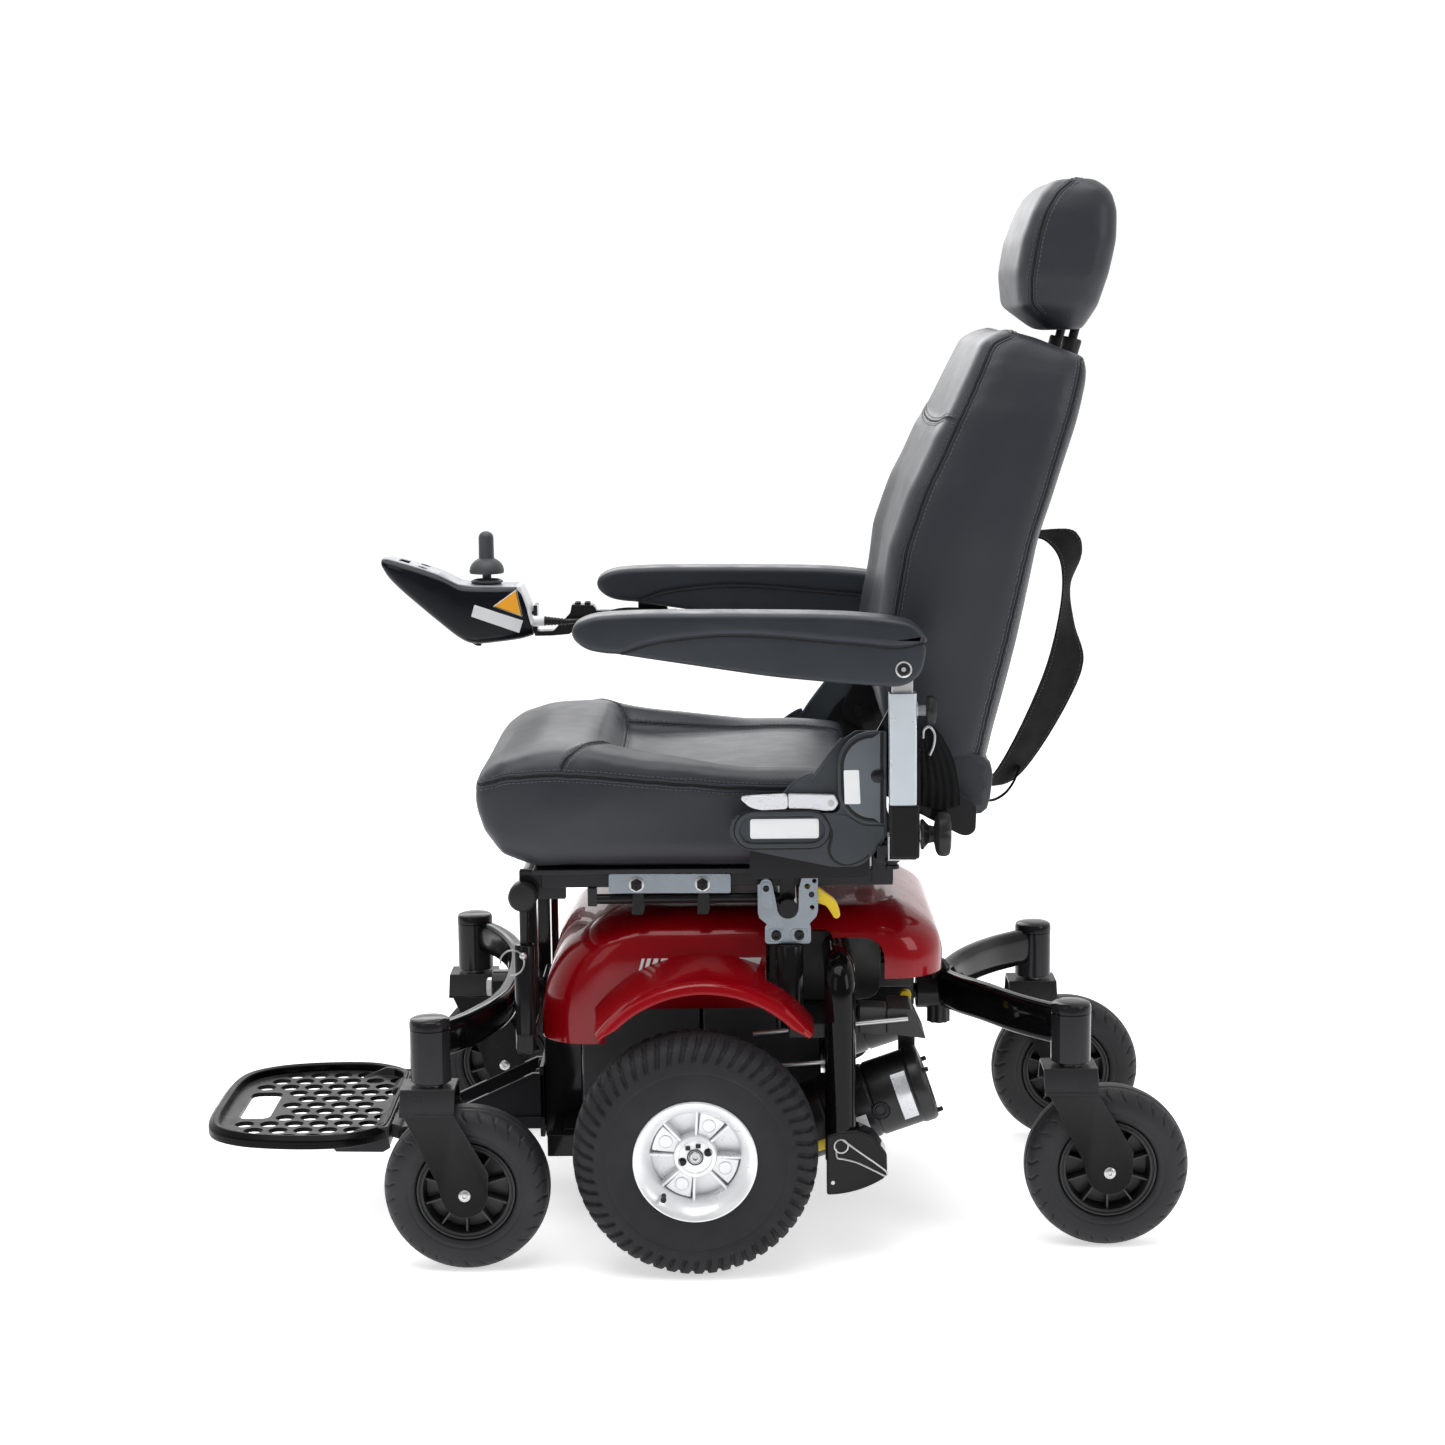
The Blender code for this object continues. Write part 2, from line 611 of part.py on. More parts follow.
def side_cover(name, side):
    outline = [(39, 467), (42, 481), (52, 488), (140, 488), (155, 488), (157, 530), (166, 556),
               (180, 569), (192, 573), (204, 573), (204, 462), (190, 459), (188, 442), (176, 431),
               (120, 436), (70, 445), (46, 452)]
    bm = bmesh.new()
    plate(bm, outline, sorted((side * 228.8, side * 246)))
    cover = solid(f"{name}_side_cover", bm, "moulded_grey")
    soften(cover, 2.5, 1)


def recline_lever():
    y, z = RECLINE_LEVER_PIVOT
    outline = [(50, 509), (58, 503), (110, 493), (140, 490.2), (150, 490.4), (154, 498), (150, 505.5),
               (120, 510), (80, 512)]
    bm = bmesh.new()
    plate(bm, outline, (229, 241))
    lever = solid("recline_lever", bm, "lever_white", (235, y, z))
    bore = bmesh.new()
    rod(bore, (225, y, z), (245, y, z), 4, 8)
    cut(lever, bore)


def back_frame():
    """Hinge ears on both sides, joined by a tube below the backrest."""
    y, z = BACK_PIVOT
    tube = (288.0, 471.0)
    bm = bmesh.new()
    rod(bm, (-224, *tube), (224, *tube), 9.5)
    frame = solid("back_frame", bm, "black_paint", (0, y, z))
    bm = bmesh.new()
    for _, side in SIDES:
        ear = arc((y, z), 20, 150, 215, 4) + arc(tube, 12.5, 240, 330, 4)
        ear += [(300, 490), (240, 540), (236, 590), (222, 602), (208, 596)]
        plate(bm, ear, sorted((side * 219.6, side * 224.6)))
    join(frame, bm)
    bore = bmesh.new()
    rod(bore, (-235, y, z), (235, y, z), 6.4)
    cut(frame, bore)


def backrest():
    stations = [((264, 484), (312, 484), 200), ((236, 520), (316, 520), 204),
                ((205, 562), (327, 566), 205), ((193, 650), (350, 655), 206),
                ((212, 760), (374, 766), 206), ((233, 820), (392, 826), 204),
                ((275, 905), (413, 895), 194), ((299, 958), (426, 936), 180),
                ((311, 980), (430, 950), 170), ((334, 990), (428, 961), 158)]
    bm = bmesh.new()
    skin(bm, [padded_ring(front, rear, half_w, 22) for front, rear, half_w in stations])
    back = solid("backrest", bm, "vinyl", (0, *BACK_PIVOT))
    bores = bmesh.new()
    for x in (-62, 62):
        rod(bores, headrest_point(x, -92), headrest_point(x, 30), 5.6)
    cut(back, bores)


def headrest_point(x, along):
    """A point on a headrest post, measured along it from the headrest's underside."""
    return (x, 420 + along * math.sin(HEADREST_LEAN), 990 + along * math.cos(HEADREST_LEAN))


def headrest():
    stations = [((391, 986), (431, 984), 108), ((347, 1012), (445, 1012), 124),
                ((343, 1045), (453, 1042), 130), ((348, 1080), (461, 1080), 130),
                ((364, 1116), (463, 1116), 127), ((392, 1149), (448, 1149), 110)]
    bm = bmesh.new()
    skin(bm, [padded_ring(front, rear, half_w, 20) for front, rear, half_w in stations])
    rest = solid("headrest", bm, "vinyl", headrest_point(0, 0))
    posts = bmesh.new()
    for x in (-62, 62):
        rod(posts, headrest_point(x, -88), headrest_point(x, 25), 5)
    join(rest, posts)


def lap_belt():
    """Webbing that stands off behind the backrest as one bowed strap."""
    route = [(318, 493), (330, 478), (352, 482), (388, 515), (415, 566), (431, 620), (428, 668),
             (432, 705), (424, 738), (404, 754), (378, 757)]
    path = smooth_path([(0, y, z) for y, z in route], 24)
    rings = []
    for i, point in enumerate(path):
        ahead = path[min(i + 1, len(path) - 1)] - path[max(i - 1, 0)]
        out = Vector((0, -ahead.z, ahead.y)).normalized()
        turn = math.radians(35) * math.sin(math.pi * i / (len(path) - 1))
        across = (Vector((1, 0, 0)) * math.cos(turn) + out * math.sin(turn)) * 22
        thick = across.cross(ahead).normalized() * 1.5
        rings.append([point - across - thick, point + across - thick, point + across + thick,
                      point - across + thick])
    bm = bmesh.new()
    skin(bm, rings)
    solid("lap_belt", bm, "webbing", (0, *BACK_PIVOT))


# ---------------------------------------------------------------- armrests

def arm_bracket(name, side):
    """The receiver with its sliding bar and the upright sleeve."""
    bm = bmesh.new()
    side_box(bm, side, (236, 264), (205.5, 238), (437, 497))
    bracket = solid(f"{name}_arm_bracket", bm, "silver_sleeve")
    bm = bmesh.new()
    side_box(bm, side, (110, 250), (193.3, 211.7), (435.3, 453.7))
    side_box(bm, side, (240, 260), (205.7, 235), (480, SLEEVE_TOP))
    join(bracket, bm)
    bore = bmesh.new()
    side_box(bore, side, (243.6, 256.4), (208.6, 231.4), (470, SLEEVE_TOP + 9))
    cut(bracket, bore)


def arm_post(name, side):
    y, z = ARM_PIVOT
    bm = bmesh.new()
    plate(bm, [(y - 11, 505), (y + 11, 505)] + arc((y, z), 11, 0, 180, 9),
          sorted((side * 244, side * 256)))
    post = solid(f"{name}_arm_post", bm, "zinc", (side * ARM_X, y, z))
    pin = bmesh.new()
    rod(pin, (side * (ARM_X - 25.5), y, z), (side * (ARM_X + 25.5), y, z), 5)
    join(post, pin)


def knobs(name, side):
    """Hand knobs that clamp the sleeve in its receiver and the post in its sleeve."""
    for kind, z, start, disc, stem in (("clamp_knob", CLAMP_KNOB_Z, 238.3, 22, 6),
                                       ("height_knob", HEIGHT_KNOB_Z, 235.3, 13, 4.5)):
        length = 14
        profile = [(stem, 0), (stem, length), (disc, length + 2), (disc, length + 12),
                   (disc * 0.6, length + 18)]
        bm = bmesh.new()
        turned(bm, profile, (side * ARM_X, start, z), 14, "Y", closed=False)
        solid(f"{name}_{kind}", bm, "knob_black", (side * ARM_X, start, z))


def armrest(name, side):
    y, z = ARM_PIVOT
    outline = [(-123, 677), (-117, 691), (-98, 700), (0, 703), (130, 701), (214, 695), (236, 688),
               (244, 672), (242, 650), (234, 630), (222, 621.5), (204, 620), (150, 627.5), (62, 639),
               (-20, 650), (-93, 659), (-115, 666)]
    bm = bmesh.new()
    plate(bm, outline, sorted((side * (ARM_X - PAD_HALF_W), side * (ARM_X + PAD_HALF_W))))
    pad = solid(f"{name}_armrest", bm, "arm_pad", (side * ARM_X, y, z))
    soften(pad, 5)
    if side == RIGHT:
        clamp = bmesh.new()
        box(clamp, (-276.5, -253.5), (-72, -36), (627, 664))
        join(pad, clamp)
    bores = bmesh.new()
    side_box(bores, side, (243.5, 256.5), (207, 270), (600, 658))
    rod(bores, (side * (ARM_X - 40), y, z), (side * (ARM_X + 40), y, z), 5.5)
    if side == RIGHT:
        box(bores, (-272.4, -257.6), (-90, -20), (633.6, 648.4))
        rod(bores, (-236, 192, 610), (-236, 192, 636), 5.5, 10)
    cut(pad, bores)


# ---------------------------------------------------------------- controller

def nose_point(x, along, lift):
    """A point on the sloping keypad: x across, along towards the tip, lift off its face."""
    foot, tip = Vector(NOSE_FOOT), Vector(NOSE_TIP)
    slope = (tip - foot).normalized()
    normal = Vector((-slope[1], slope[0])) * -1
    spot = foot + slope * along + normal * lift
    return (CONTROL_X + x, spot[0], spot[1])


BUTTONS = {"power_button": (-15, 24), "horn_button": (15, 24)}
ROCKER_ALONG = 48


def controller():
    stations = [(-383, 704, 713, 22), (-362, 674, 705, 30), (-327, 637, 692.4, 34),
                (-313, 626, NOSE_FOOT[1], 35), (-285, 608, 679, 35), (-229, 612, 679, 34),
                (-210, 614, 676, 32), (-199.5, 619, 664, 30)]
    rings = []
    for y, low, high, half_w in stations:
        ring = padded_ring((0, low), (0, high), half_w, 9, CONTROL_X)
        rings.append([(x, y, z) for x, _, z in ring])
    bm = bmesh.new()
    skin(bm, rings)
    housing = solid("controller_housing", bm, "housing_black")
    plug = bmesh.new()
    rod(plug, (-237, -203, 638), (-237, -181, 638), 6.5)
    join(housing, plug)
    pockets = bmesh.new()
    rod(pockets, (CONTROL_X, STICK[0], 662), (CONTROL_X, STICK[0], 700), 19, 20)
    for x, along in BUTTONS.values():
        rod(pockets, nose_point(x, along, -5.5), nose_point(x, along, 12), 6.4)
    corners = ((-12.5, -6.5), (12.5, -6.5), (12.5, 6.5), (-12.5, 6.5))
    skin(pockets, [[nose_point(x, ROCKER_ALONG + s, lift) for x, s in corners] for lift in (-6, 12)])
    cut(housing, pockets)

    for name, (x, along) in BUTTONS.items():
        bm = bmesh.new()
        rod(bm, nose_point(x, along, -3.5), nose_point(x, along, 1.6), 5.8)
        solid(name, bm, "button_grey", nose_point(x, along, 0))
    bm = bmesh.new()
    corners = ((-11.5, -5.5), (11.5, -5.5), (11.5, 5.5), (-11.5, 5.5))
    skin(bm, [[nose_point(x, ROCKER_ALONG + s, lift) for x, s in corners] for lift in (-3.5, 1.6)])
    solid("speed_rocker", bm, "button_grey", nose_point(0, ROCKER_ALONG, 0))


def controller_mount():
    bm = bmesh.new()
    box(bm, (-272, -258), (-197, -24), (634, 648))
    mount = solid("controller_mount", bm, "black_paint")
    bm = bmesh.new()
    box(bm, (-282, -246), (-199.2, -194), (621, 657))
    join(mount, bm)


def joystick():
    y, z = STICK
    centre = (CONTROL_X, y, z)
    bm = bmesh.new()
    turned(bm, [(3, -9.0), (6, -8.0), (6, -5.5), (3, -4.5)], centre, 12, "Z", closed=False)
    solid("joystick_gimbal", bm, "zinc", centre)
    profile = [(4, 0.5), (4, 8), (13, 8.5), (12, 14), (8.5, 22), (6.5, 30), (8, 36), (10.5, 52),
               (10, 64), (7.5, 71), (3, 74)]
    bm = bmesh.new()
    turned(bm, profile, centre, 16, "Z", closed=False)
    solid("joystick", bm, "stick_grey", centre)


def controller_cable():
    """The lead from the plug, along the pad's underside and into the hole before the post."""
    route = [(-237, -180.7, 638), (-237, -160, 637), (-236, -125, 640), (-235, -95, 650),
             (-235, -60, 649.8), (-235, 0, 642.2), (-235, 60, 634.5), (-235, 110, 628),
             (-235.5, 155, 621.5), (-236, 181, 616), (-236, 190, 618), (-236, 192, 625), (-236, 192, 631)]
    curve = bpy.data.curves.new("controller_cable", "CURVE")
    curve.dimensions = "3D"
    curve.bevel_depth = 3.0 * MM
    curve.bevel_resolution = 2
    curve.render_resolution_u = 0
    curve.use_fill_caps = True
    points = smooth_path(route, 34)
    spline = curve.splines.new("POLY")
    spline.points.add(len(points) - 1)
    for slot, point in zip(spline.points, points):
        slot.co = (*(point * MM), 1.0)
    curve.materials.append(MATS["cable"])
    new_object("controller_cable", curve, (0.0, 0.0, 0.0))


# ---------------------------------------------------------------- assembly

for leftover in list(bpy.data.objects):
    bpy.data.objects.remove(leftover)

ROOT = bpy.data.objects.new("chair", None)
ROOT.location = (0.0, FOOTPRINT_SHIFT * MM, 0.0)
bpy.context.scene.collection.objects.link(ROOT)

MATS = {}
for slot_name, (colour, roughness, metallic) in MATERIALS.items():
    mat = bpy.data.materials.new(slot_name)
    mat.use_nodes = True
    shader = mat.node_tree.nodes["Principled BSDF"]
    shader.inputs["Base Color"].default_value = (*colour, 1.0)
    shader.inputs["Roughness"].default_value = roughness
    shader.inputs["Metallic"].default_value = metallic
    mat.diffuse_color = (*colour, 1.0)
    MATS[slot_name] = mat

main_frame()
batteries()
control_module()
shroud()
yokes()
footrest()
seat_frame()
seat_cushion()
recline_lever()
back_frame()
backrest()
headrest()
lap_belt()
controller()
controller_mount()
joystick()
controller_cable()
for side_name, side_sign in SIDES:
    gearmotor(side_name, side_sign)
    freewheel_lever(side_name, side_sign)
    drive_wheel(side_name, side_sign)
    seat_latch(side_name, side_sign)
    side_cover(side_name, side_sign)
    arm_bracket(side_name, side_sign)
    arm_post(side_name, side_sign)
    knobs(side_name, side_sign)
    armrest(side_name, side_sign)
    caster_wheel(f"front_{side_name}", FRONT_CASTER, side_sign)
    caster_wheel(f"rear_{side_name}", REAR_CASTER, side_sign)
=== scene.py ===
"""The looks of the power wheelchair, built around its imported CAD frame.

Forward is -Y, the sitter's left is +X. Sizes below are in millimetres, measured from the point on the
floor under the middle of the drive axle; finish_mesh turns them into metres in the row frame.
"""

import json
import math

import bmesh
import bpy
import numpy as np
from mathutils import Matrix, Vector
from mathutils.bvhtree import BVHTree


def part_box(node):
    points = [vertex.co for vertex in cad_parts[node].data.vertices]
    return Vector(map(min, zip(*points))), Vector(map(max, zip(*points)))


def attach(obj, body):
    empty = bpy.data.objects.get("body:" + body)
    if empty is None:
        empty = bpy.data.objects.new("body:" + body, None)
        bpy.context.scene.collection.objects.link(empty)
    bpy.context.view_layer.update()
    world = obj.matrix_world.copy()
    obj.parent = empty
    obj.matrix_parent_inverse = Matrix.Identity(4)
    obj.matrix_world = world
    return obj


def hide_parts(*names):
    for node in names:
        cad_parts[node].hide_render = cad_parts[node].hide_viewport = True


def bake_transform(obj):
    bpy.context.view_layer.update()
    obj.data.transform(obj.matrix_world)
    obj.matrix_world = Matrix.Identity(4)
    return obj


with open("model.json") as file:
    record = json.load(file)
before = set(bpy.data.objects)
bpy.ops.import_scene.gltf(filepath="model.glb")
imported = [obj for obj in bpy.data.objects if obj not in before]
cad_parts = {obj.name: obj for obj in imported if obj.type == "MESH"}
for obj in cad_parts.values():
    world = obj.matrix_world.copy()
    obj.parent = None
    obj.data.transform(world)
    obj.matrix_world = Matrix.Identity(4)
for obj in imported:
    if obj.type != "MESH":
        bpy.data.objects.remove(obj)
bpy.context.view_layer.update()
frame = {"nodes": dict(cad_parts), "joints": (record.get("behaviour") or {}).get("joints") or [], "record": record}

MM = 0.001
JOINTS = {joint["name"]: joint for joint in frame["joints"]}
AXLE_Y = JOINTS["left_drive_spin"]["pos_m"][1]
LEFT, RIGHT = 1, -1
SIDES = (("left", LEFT), ("right", RIGHT))
ENDS = ("front", "rear")


def design(point):
    """A point of the row frame, in metres, as millimetres from the drive axle."""
    return Vector((point[0], point[1] - AXLE_Y, point[2])) / MM


def joint_spot(name):
    return design(JOINTS[name]["pos_m"])


def box_of(node):
    """A CAD node's lowest and highest corner in millimetres from the drive axle."""
    low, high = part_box(node)
    return design(low), design(high)


# ---------------------------------------------------------------- materials

class Nodes:
    """Short ways to add and join the nodes of one material."""

    def __init__(self, name):
        self.material = bpy.data.materials.new(name)
        self.material.use_nodes = True
        self.tree = self.material.node_tree
        self.shader = self.tree.nodes["Principled BSDF"]

    def add(self, kind, **values):
        node = self.tree.nodes.new(kind)
        for key, value in values.items():
            setattr(node, key, value)
        return node

    def link(self, output, target):
        self.tree.links.new(output, target)

    def place(self, scale=(1.0, 1.0, 1.0)):
        """Coordinates in metres that stay with the piece, stretched along each axis."""
        source = self.add("ShaderNodeTexCoord")
        mapping = self.add("ShaderNodeMapping")
        mapping.inputs["Scale"].default_value = scale
        self.link(source.outputs["Object"], mapping.inputs["Vector"])
        return mapping.outputs["Vector"]

    def noise(self, scale, detail=4.0, stretch=(1.0, 1.0, 1.0)):
        node = self.add("ShaderNodeTexNoise")
        node.inputs["Scale"].default_value = scale
        node.inputs["Detail"].default_value = detail
        self.link(self.place(stretch), node.inputs["Vector"])
        return node.outputs["Fac"]

    def cells(self, scale):
        node = self.add("ShaderNodeTexVoronoi", feature="SMOOTH_F1")
        node.inputs["Scale"].default_value = scale
        node.inputs["Smoothness"].default_value = 0.35
        self.link(self.place(), node.inputs["Vector"])
        return node.outputs["Distance"]

    def wave(self, scale, axis, direction):
        node = self.add("ShaderNodeTexWave", wave_type="BANDS", bands_direction=direction)
        node.inputs["Scale"].default_value = scale
        self.link(self.place(axis), node.inputs["Vector"])
        return node.outputs["Fac"]

    def spread(self, value, low, high, start=0.3, end=0.7):
        node = self.add("ShaderNodeMapRange")
        for key, number in (("From Min", start), ("From Max", end), ("To Min", low), ("To Max", high)):
            node.inputs[key].default_value = number
        self.link(value, node.inputs["Value"])
        return node.outputs["Result"]

    def blend(self, factor, first, second):
        """A mix of two colours, each a colour or another node's output."""
        node = self.add("ShaderNodeMix", data_type="RGBA")
        self.link(factor, node.inputs[0])
        for slot, colour in ((6, first), (7, second)):
            if isinstance(colour, tuple):
                node.inputs[slot].default_value = (*colour, 1.0)
            else:
                self.link(colour, node.inputs[slot])
        return node.outputs[2]

    def bump(self, height, depth_mm, strength=1.0, below=None):
        node = self.add("ShaderNodeBump")
        node.inputs["Strength"].default_value = strength
        node.inputs["Distance"].default_value = depth_mm * MM
        self.link(height, node.inputs["Height"])
        if below is not None:
            self.link(below, node.inputs["Normal"])
        return node.outputs["Normal"]


LOOKS = {}
PATCH = 14.0


def grain_normal(nodes, grain):
    """The fine relief of each kind of surface."""
    if grain == "leather":
        pores = nodes.bump(nodes.cells(620), 0.16, 0.7)
        return nodes.bump(nodes.noise(70, 3), 0.3, 0.15, pores)
    if grain == "powder":
        return nodes.bump(nodes.noise(420, 2), 0.05, 0.5)
    if grain == "moulded":
        return nodes.bump(nodes.noise(1500, 2), 0.08, 0.55)
    if grain == "rubber":
        fine = nodes.bump(nodes.noise(1100, 4), 0.10, 0.6)
        return nodes.bump(nodes.noise(90, 2), 0.25, 0.25, fine)
    if grain == "brushed":
        return nodes.bump(nodes.noise(260, 3, (1.0, 0.06, 1.0)), 0.05, 0.5)
    if grain == "weave":
        warp = nodes.bump(nodes.wave(330, (1.0, 1.0, 1.0), "DIAGONAL"), 0.22, 0.8)
        return nodes.bump(nodes.wave(330, (-1.0, 1.0, 1.0), "DIAGONAL"), 0.22, 0.8, warp)
    return nodes.bump(nodes.noise(35, 2), 0.06, 0.3)


def material(name, colour, rough, grain, metallic=0.0, coat=0.0, coat_rough=0.06, sheen=0.0,
             mottle=0.12, rough_spread=0.07, edge=None, shine=0.5, slot=None):
    """Mottled colour, uneven roughness, relief, and a lighter colour on sharp edges where edge gives it.

    The material is kept in LOOKS with the record's slot that it belongs to, its own name if none is given.
    """
    nodes = Nodes(name)
    shader = nodes.shader
    dark = tuple(c * (1 - mottle) for c in colour)
    light = tuple(min(c * (1 + mottle), 1.0) for c in colour)
    cloud = nodes.noise(PATCH)
    tint = nodes.blend(nodes.spread(cloud, 0.0, 1.0), dark, light)
    if edge:
        geometry = nodes.add("ShaderNodeNewGeometry")
        sharp_edge_share = nodes.spread(geometry.outputs["Pointiness"], 0.0, 0.75, 0.53, 0.60)
        tint = nodes.blend(sharp_edge_share, tint, edge)
    nodes.link(tint, shader.inputs["Base Color"])
    low, high = rough - rough_spread, rough + rough_spread
    nodes.link(nodes.spread(nodes.noise(PATCH * 3), max(low, 0.02), high), shader.inputs["Roughness"])
    nodes.link(grain_normal(nodes, grain), shader.inputs["Normal"])
    shader.inputs["Metallic"].default_value = metallic
    shader.inputs["Coat Weight"].default_value = coat
    shader.inputs["Coat Roughness"].default_value = coat_rough
    shader.inputs["Sheen Weight"].default_value = sheen
    shader.inputs["Specular IOR Level"].default_value = shine
    nodes.material["slot"] = name
    LOOKS[name] = (nodes.material, slot or name)
    return nodes.material


GREY_EDGE = (0.16, 0.16, 0.17)
material("black_paint", (0.003, 0.003, 0.0035), 0.10, "plain", coat=0.12, shine=0.12,
         edge=(0.05, 0.05, 0.055))
material("fork_steel", (0.003, 0.003, 0.003), 0.30, "powder", 0.0, shine=0.10, edge=GREY_EDGE)
material("red_gloss", (0.27, 0.001, 0.005), 0.24, "plain", 0.1, 0.5, 0.02, shine=0.10, mottle=0.06,
         rough_spread=0.04)
material("vinyl", (0.028, 0.030, 0.037), 0.40, "leather", mottle=0.03, shine=0.34, rough_spread=0.03)
material("arm_pad", (0.022, 0.027, 0.034), 0.42, "moulded", shine=0.35, edge=(0.07, 0.075, 0.085))
material("tyre", (0.020, 0.020, 0.022), 0.66, "rubber", mottle=0.22, shine=0.25, edge=(0.045, 0.045, 0.047))
material("caster_tyre", (0.020, 0.020, 0.022), 0.52, "rubber", mottle=0.22, shine=0.3,
         edge=(0.05, 0.05, 0.052))
material("rim_silver", (0.86, 0.87, 0.88), 0.32, "powder", 0.35, 0.2, mottle=0.03)
material("hub_black", (0.014, 0.014, 0.015), 0.42, "moulded", edge=(0.05, 0.05, 0.05))
material("motor_black", (0.009, 0.009, 0.010), 0.33, "powder", 0.0, shine=0.4, edge=(0.07, 0.07, 0.07))
material("battery", (0.045, 0.045, 0.05), 0.55, "moulded")
material("module", (0.03, 0.03, 0.03), 0.50, "moulded")
material("silver_plate", (0.24, 0.27, 0.30), 0.30, "brushed", 0.85, mottle=0.08)
material("yellow", (0.86, 0.60, 0.01), 0.36, "moulded", mottle=0.05)
material("moulded_grey", (0.022, 0.029, 0.036), 0.36, "moulded", edge=(0.07, 0.085, 0.10))
material("lever_white", (0.74, 0.76, 0.79), 0.30, "powder", 0.25, 0.2, mottle=0.03)
material("silver_sleeve", (0.60, 0.66, 0.70), 0.33, "brushed", 0.55, 0.1, mottle=0.04)
material("knob_black", (0.012, 0.012, 0.013), 0.46, "moulded", shine=0.3, edge=(0.05, 0.05, 0.05))
material("housing_black", (0.005, 0.006, 0.009), 0.17, "powder", coat=0.15, shine=0.2)
material("stick_grey", (0.045, 0.048, 0.053), 0.52, "rubber", sheen=0.1)
material("button_grey", (0.20, 0.21, 0.22), 0.45, "moulded")
material("webbing", (0.006, 0.006, 0.007), 0.80, "weave", shine=0.2)
material("cable", (0.010, 0.010, 0.010), 0.45, "moulded", shine=0.3)
material("zinc", (0.55, 0.55, 0.55), 0.34, "brushed", 0.9, mottle=0.10)
material("thread", (0.075, 0.078, 0.085), 0.60, "weave", slot="vinyl")
material("label", (0.80, 0.81, 0.82), 0.38, "plain", mottle=0.03, slot="lever_white")
material("label_silver", (0.66, 0.67, 0.70), 0.26, "brushed", 0.5, slot="rim_silver")
material("amber", (1.0, 0.42, 0.0), 0.22, "moulded", coat=0.5, mottle=0.0, slot="yellow")
material("grey_top", (0.24, 0.25, 0.27), 0.40, "moulded", mottle=0.05, slot="button_grey")
material("black_bolt", (0.018, 0.018, 0.02), 0.30, "powder", 0.7, slot="motor_black")
# A lighter copy of moulded_grey for the cover boss face: painted highlight.
material("painted_highlight_grey", (0.095, 0.110, 0.126), 0.36, "moulded", slot="moulded_grey")
# Near black for thin lines and bands laid into seams, gaps and grooves: painted shade where the surfaces meet.
material("painted_shade_black", (0.004, 0.004, 0.004), 0.8, "moulded", slot="hub_black")


# ---------------------------------------------------------------- meshes

SMOOTH_DEG, BEVEL_DEG = 35.0, 32.0


def finish_mesh(bm, name, smooth_deg=SMOOTH_DEG):
    """Turns millimetres from the drive axle into metres in the row frame, and frees the bmesh."""
    bmesh.ops.remove_doubles(bm, verts=bm.verts, dist=0.001)
    bmesh.ops.recalc_face_normals(bm, faces=bm.faces)
    for vert in bm.verts:
        vert.co = Vector((vert.co.x * MM, vert.co.y * MM + AXLE_Y, vert.co.z * MM))
    mesh = bpy.data.meshes.new(name)
    bm.to_mesh(mesh)
    bm.free()
    shade(mesh, smooth_deg)
    return mesh


def shade(mesh, degrees):
    """Smooth shading, with edges that are sharper than an angle left sharp."""
    mesh.shade_smooth()
    mesh.set_sharp_from_angle(angle=math.radians(degrees))


def in_scene(name, data):
    """A new object in the scene for a mesh, a light or a camera."""
    obj = bpy.data.objects.new(name, data)
    bpy.context.scene.collection.objects.link(obj)
    return obj


def made(form, *values, **options):
    """A new mesh that holds one form."""
    bm = bmesh.new()
    form(bm, *values, **options)
    return bm


def piece(name, bm, finish, body, replaces=(), bevel=0.0, segments=2, smooth_deg=SMOOTH_DEG,
          subdivide=0):
    """A visible piece that rides on a body, with rounded edges of a given width in millimetres."""
    obj = in_scene(name, finish_mesh(bm, name, smooth_deg))
    return dress(obj, finish, body, replaces, bevel, segments, subdivide)


def dress(obj, finish, body, replaces=(), bevel=0.0, segments=2, subdivide=0):
    """Gives an object its material, rounded edges, body and the CAD nodes that it replaces."""
    surface, slot = LOOKS[finish]
    obj.data.materials.append(surface)
    if bevel:
        mod = obj.modifiers.new("round", "BEVEL")
        mod.width = bevel * MM
        mod.segments = segments
        mod.limit_method = "ANGLE"
        mod.angle_limit = math.radians(BEVEL_DEG)
        mod.harden_normals = True
    if subdivide:
        mod = obj.modifiers.new("smooth", "SUBSURF")
        mod.levels = mod.render_levels = subdivide
    if body:
        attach(obj, body)
    if replaces:
        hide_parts(*replaces)
    return obj


def skin(bm, rings, closed=False):
    """Faces between rings of equal length, capped at both ends unless the rings close on themselves."""
    rows = [[bm.verts.new(point) for point in ring] for ring in rings]
    count = len(rows[0])
    pairs = list(zip(rows, rows[1:]))
    if closed:
        pairs.append((rows[-1], rows[0]))
    else:
        bm.faces.new(rows[0])
        bm.faces.new(rows[-1])
    for first, second in pairs:
        for i in range(count):
            j = (i + 1) % count
            bm.faces.new((first[i], first[j], second[j], second[i]))


def box(bm, x, y, z):
    corners = ((x[0], y[0]), (x[1], y[0]), (x[1], y[1]), (x[0], y[1]))
    skin(bm, [[(a, b, level) for a, b in corners] for level in z])


def side_box(bm, side, x, y, z):
    """A box on one side of the chair, with x measured outwards from the middle."""
    box(bm, sorted((side * x[0], side * x[1])), y, z)


def plate(bm, outline, x):
    """An upright plate between two x values, from its (y, z) outline."""
    skin(bm, [[(level, y, z) for y, z in outline] for level in x])


def side_plate(bm, side, outline, x):
    plate(bm, outline, sorted((side * x[0], side * x[1])))


def arc(centre, radius, start, end, count):
    """Points on an arc in degrees, ends included."""
    step = (end - start) / (count - 1)
    angles = [math.radians(start + step * i) for i in range(count)]
    return [(centre[0] + radius * math.cos(a), centre[1] + radius * math.sin(a)) for a in angles]


def disc(centre, radius, count=40):
    return arc(centre, radius, 0, 360 - 360 / count, count)


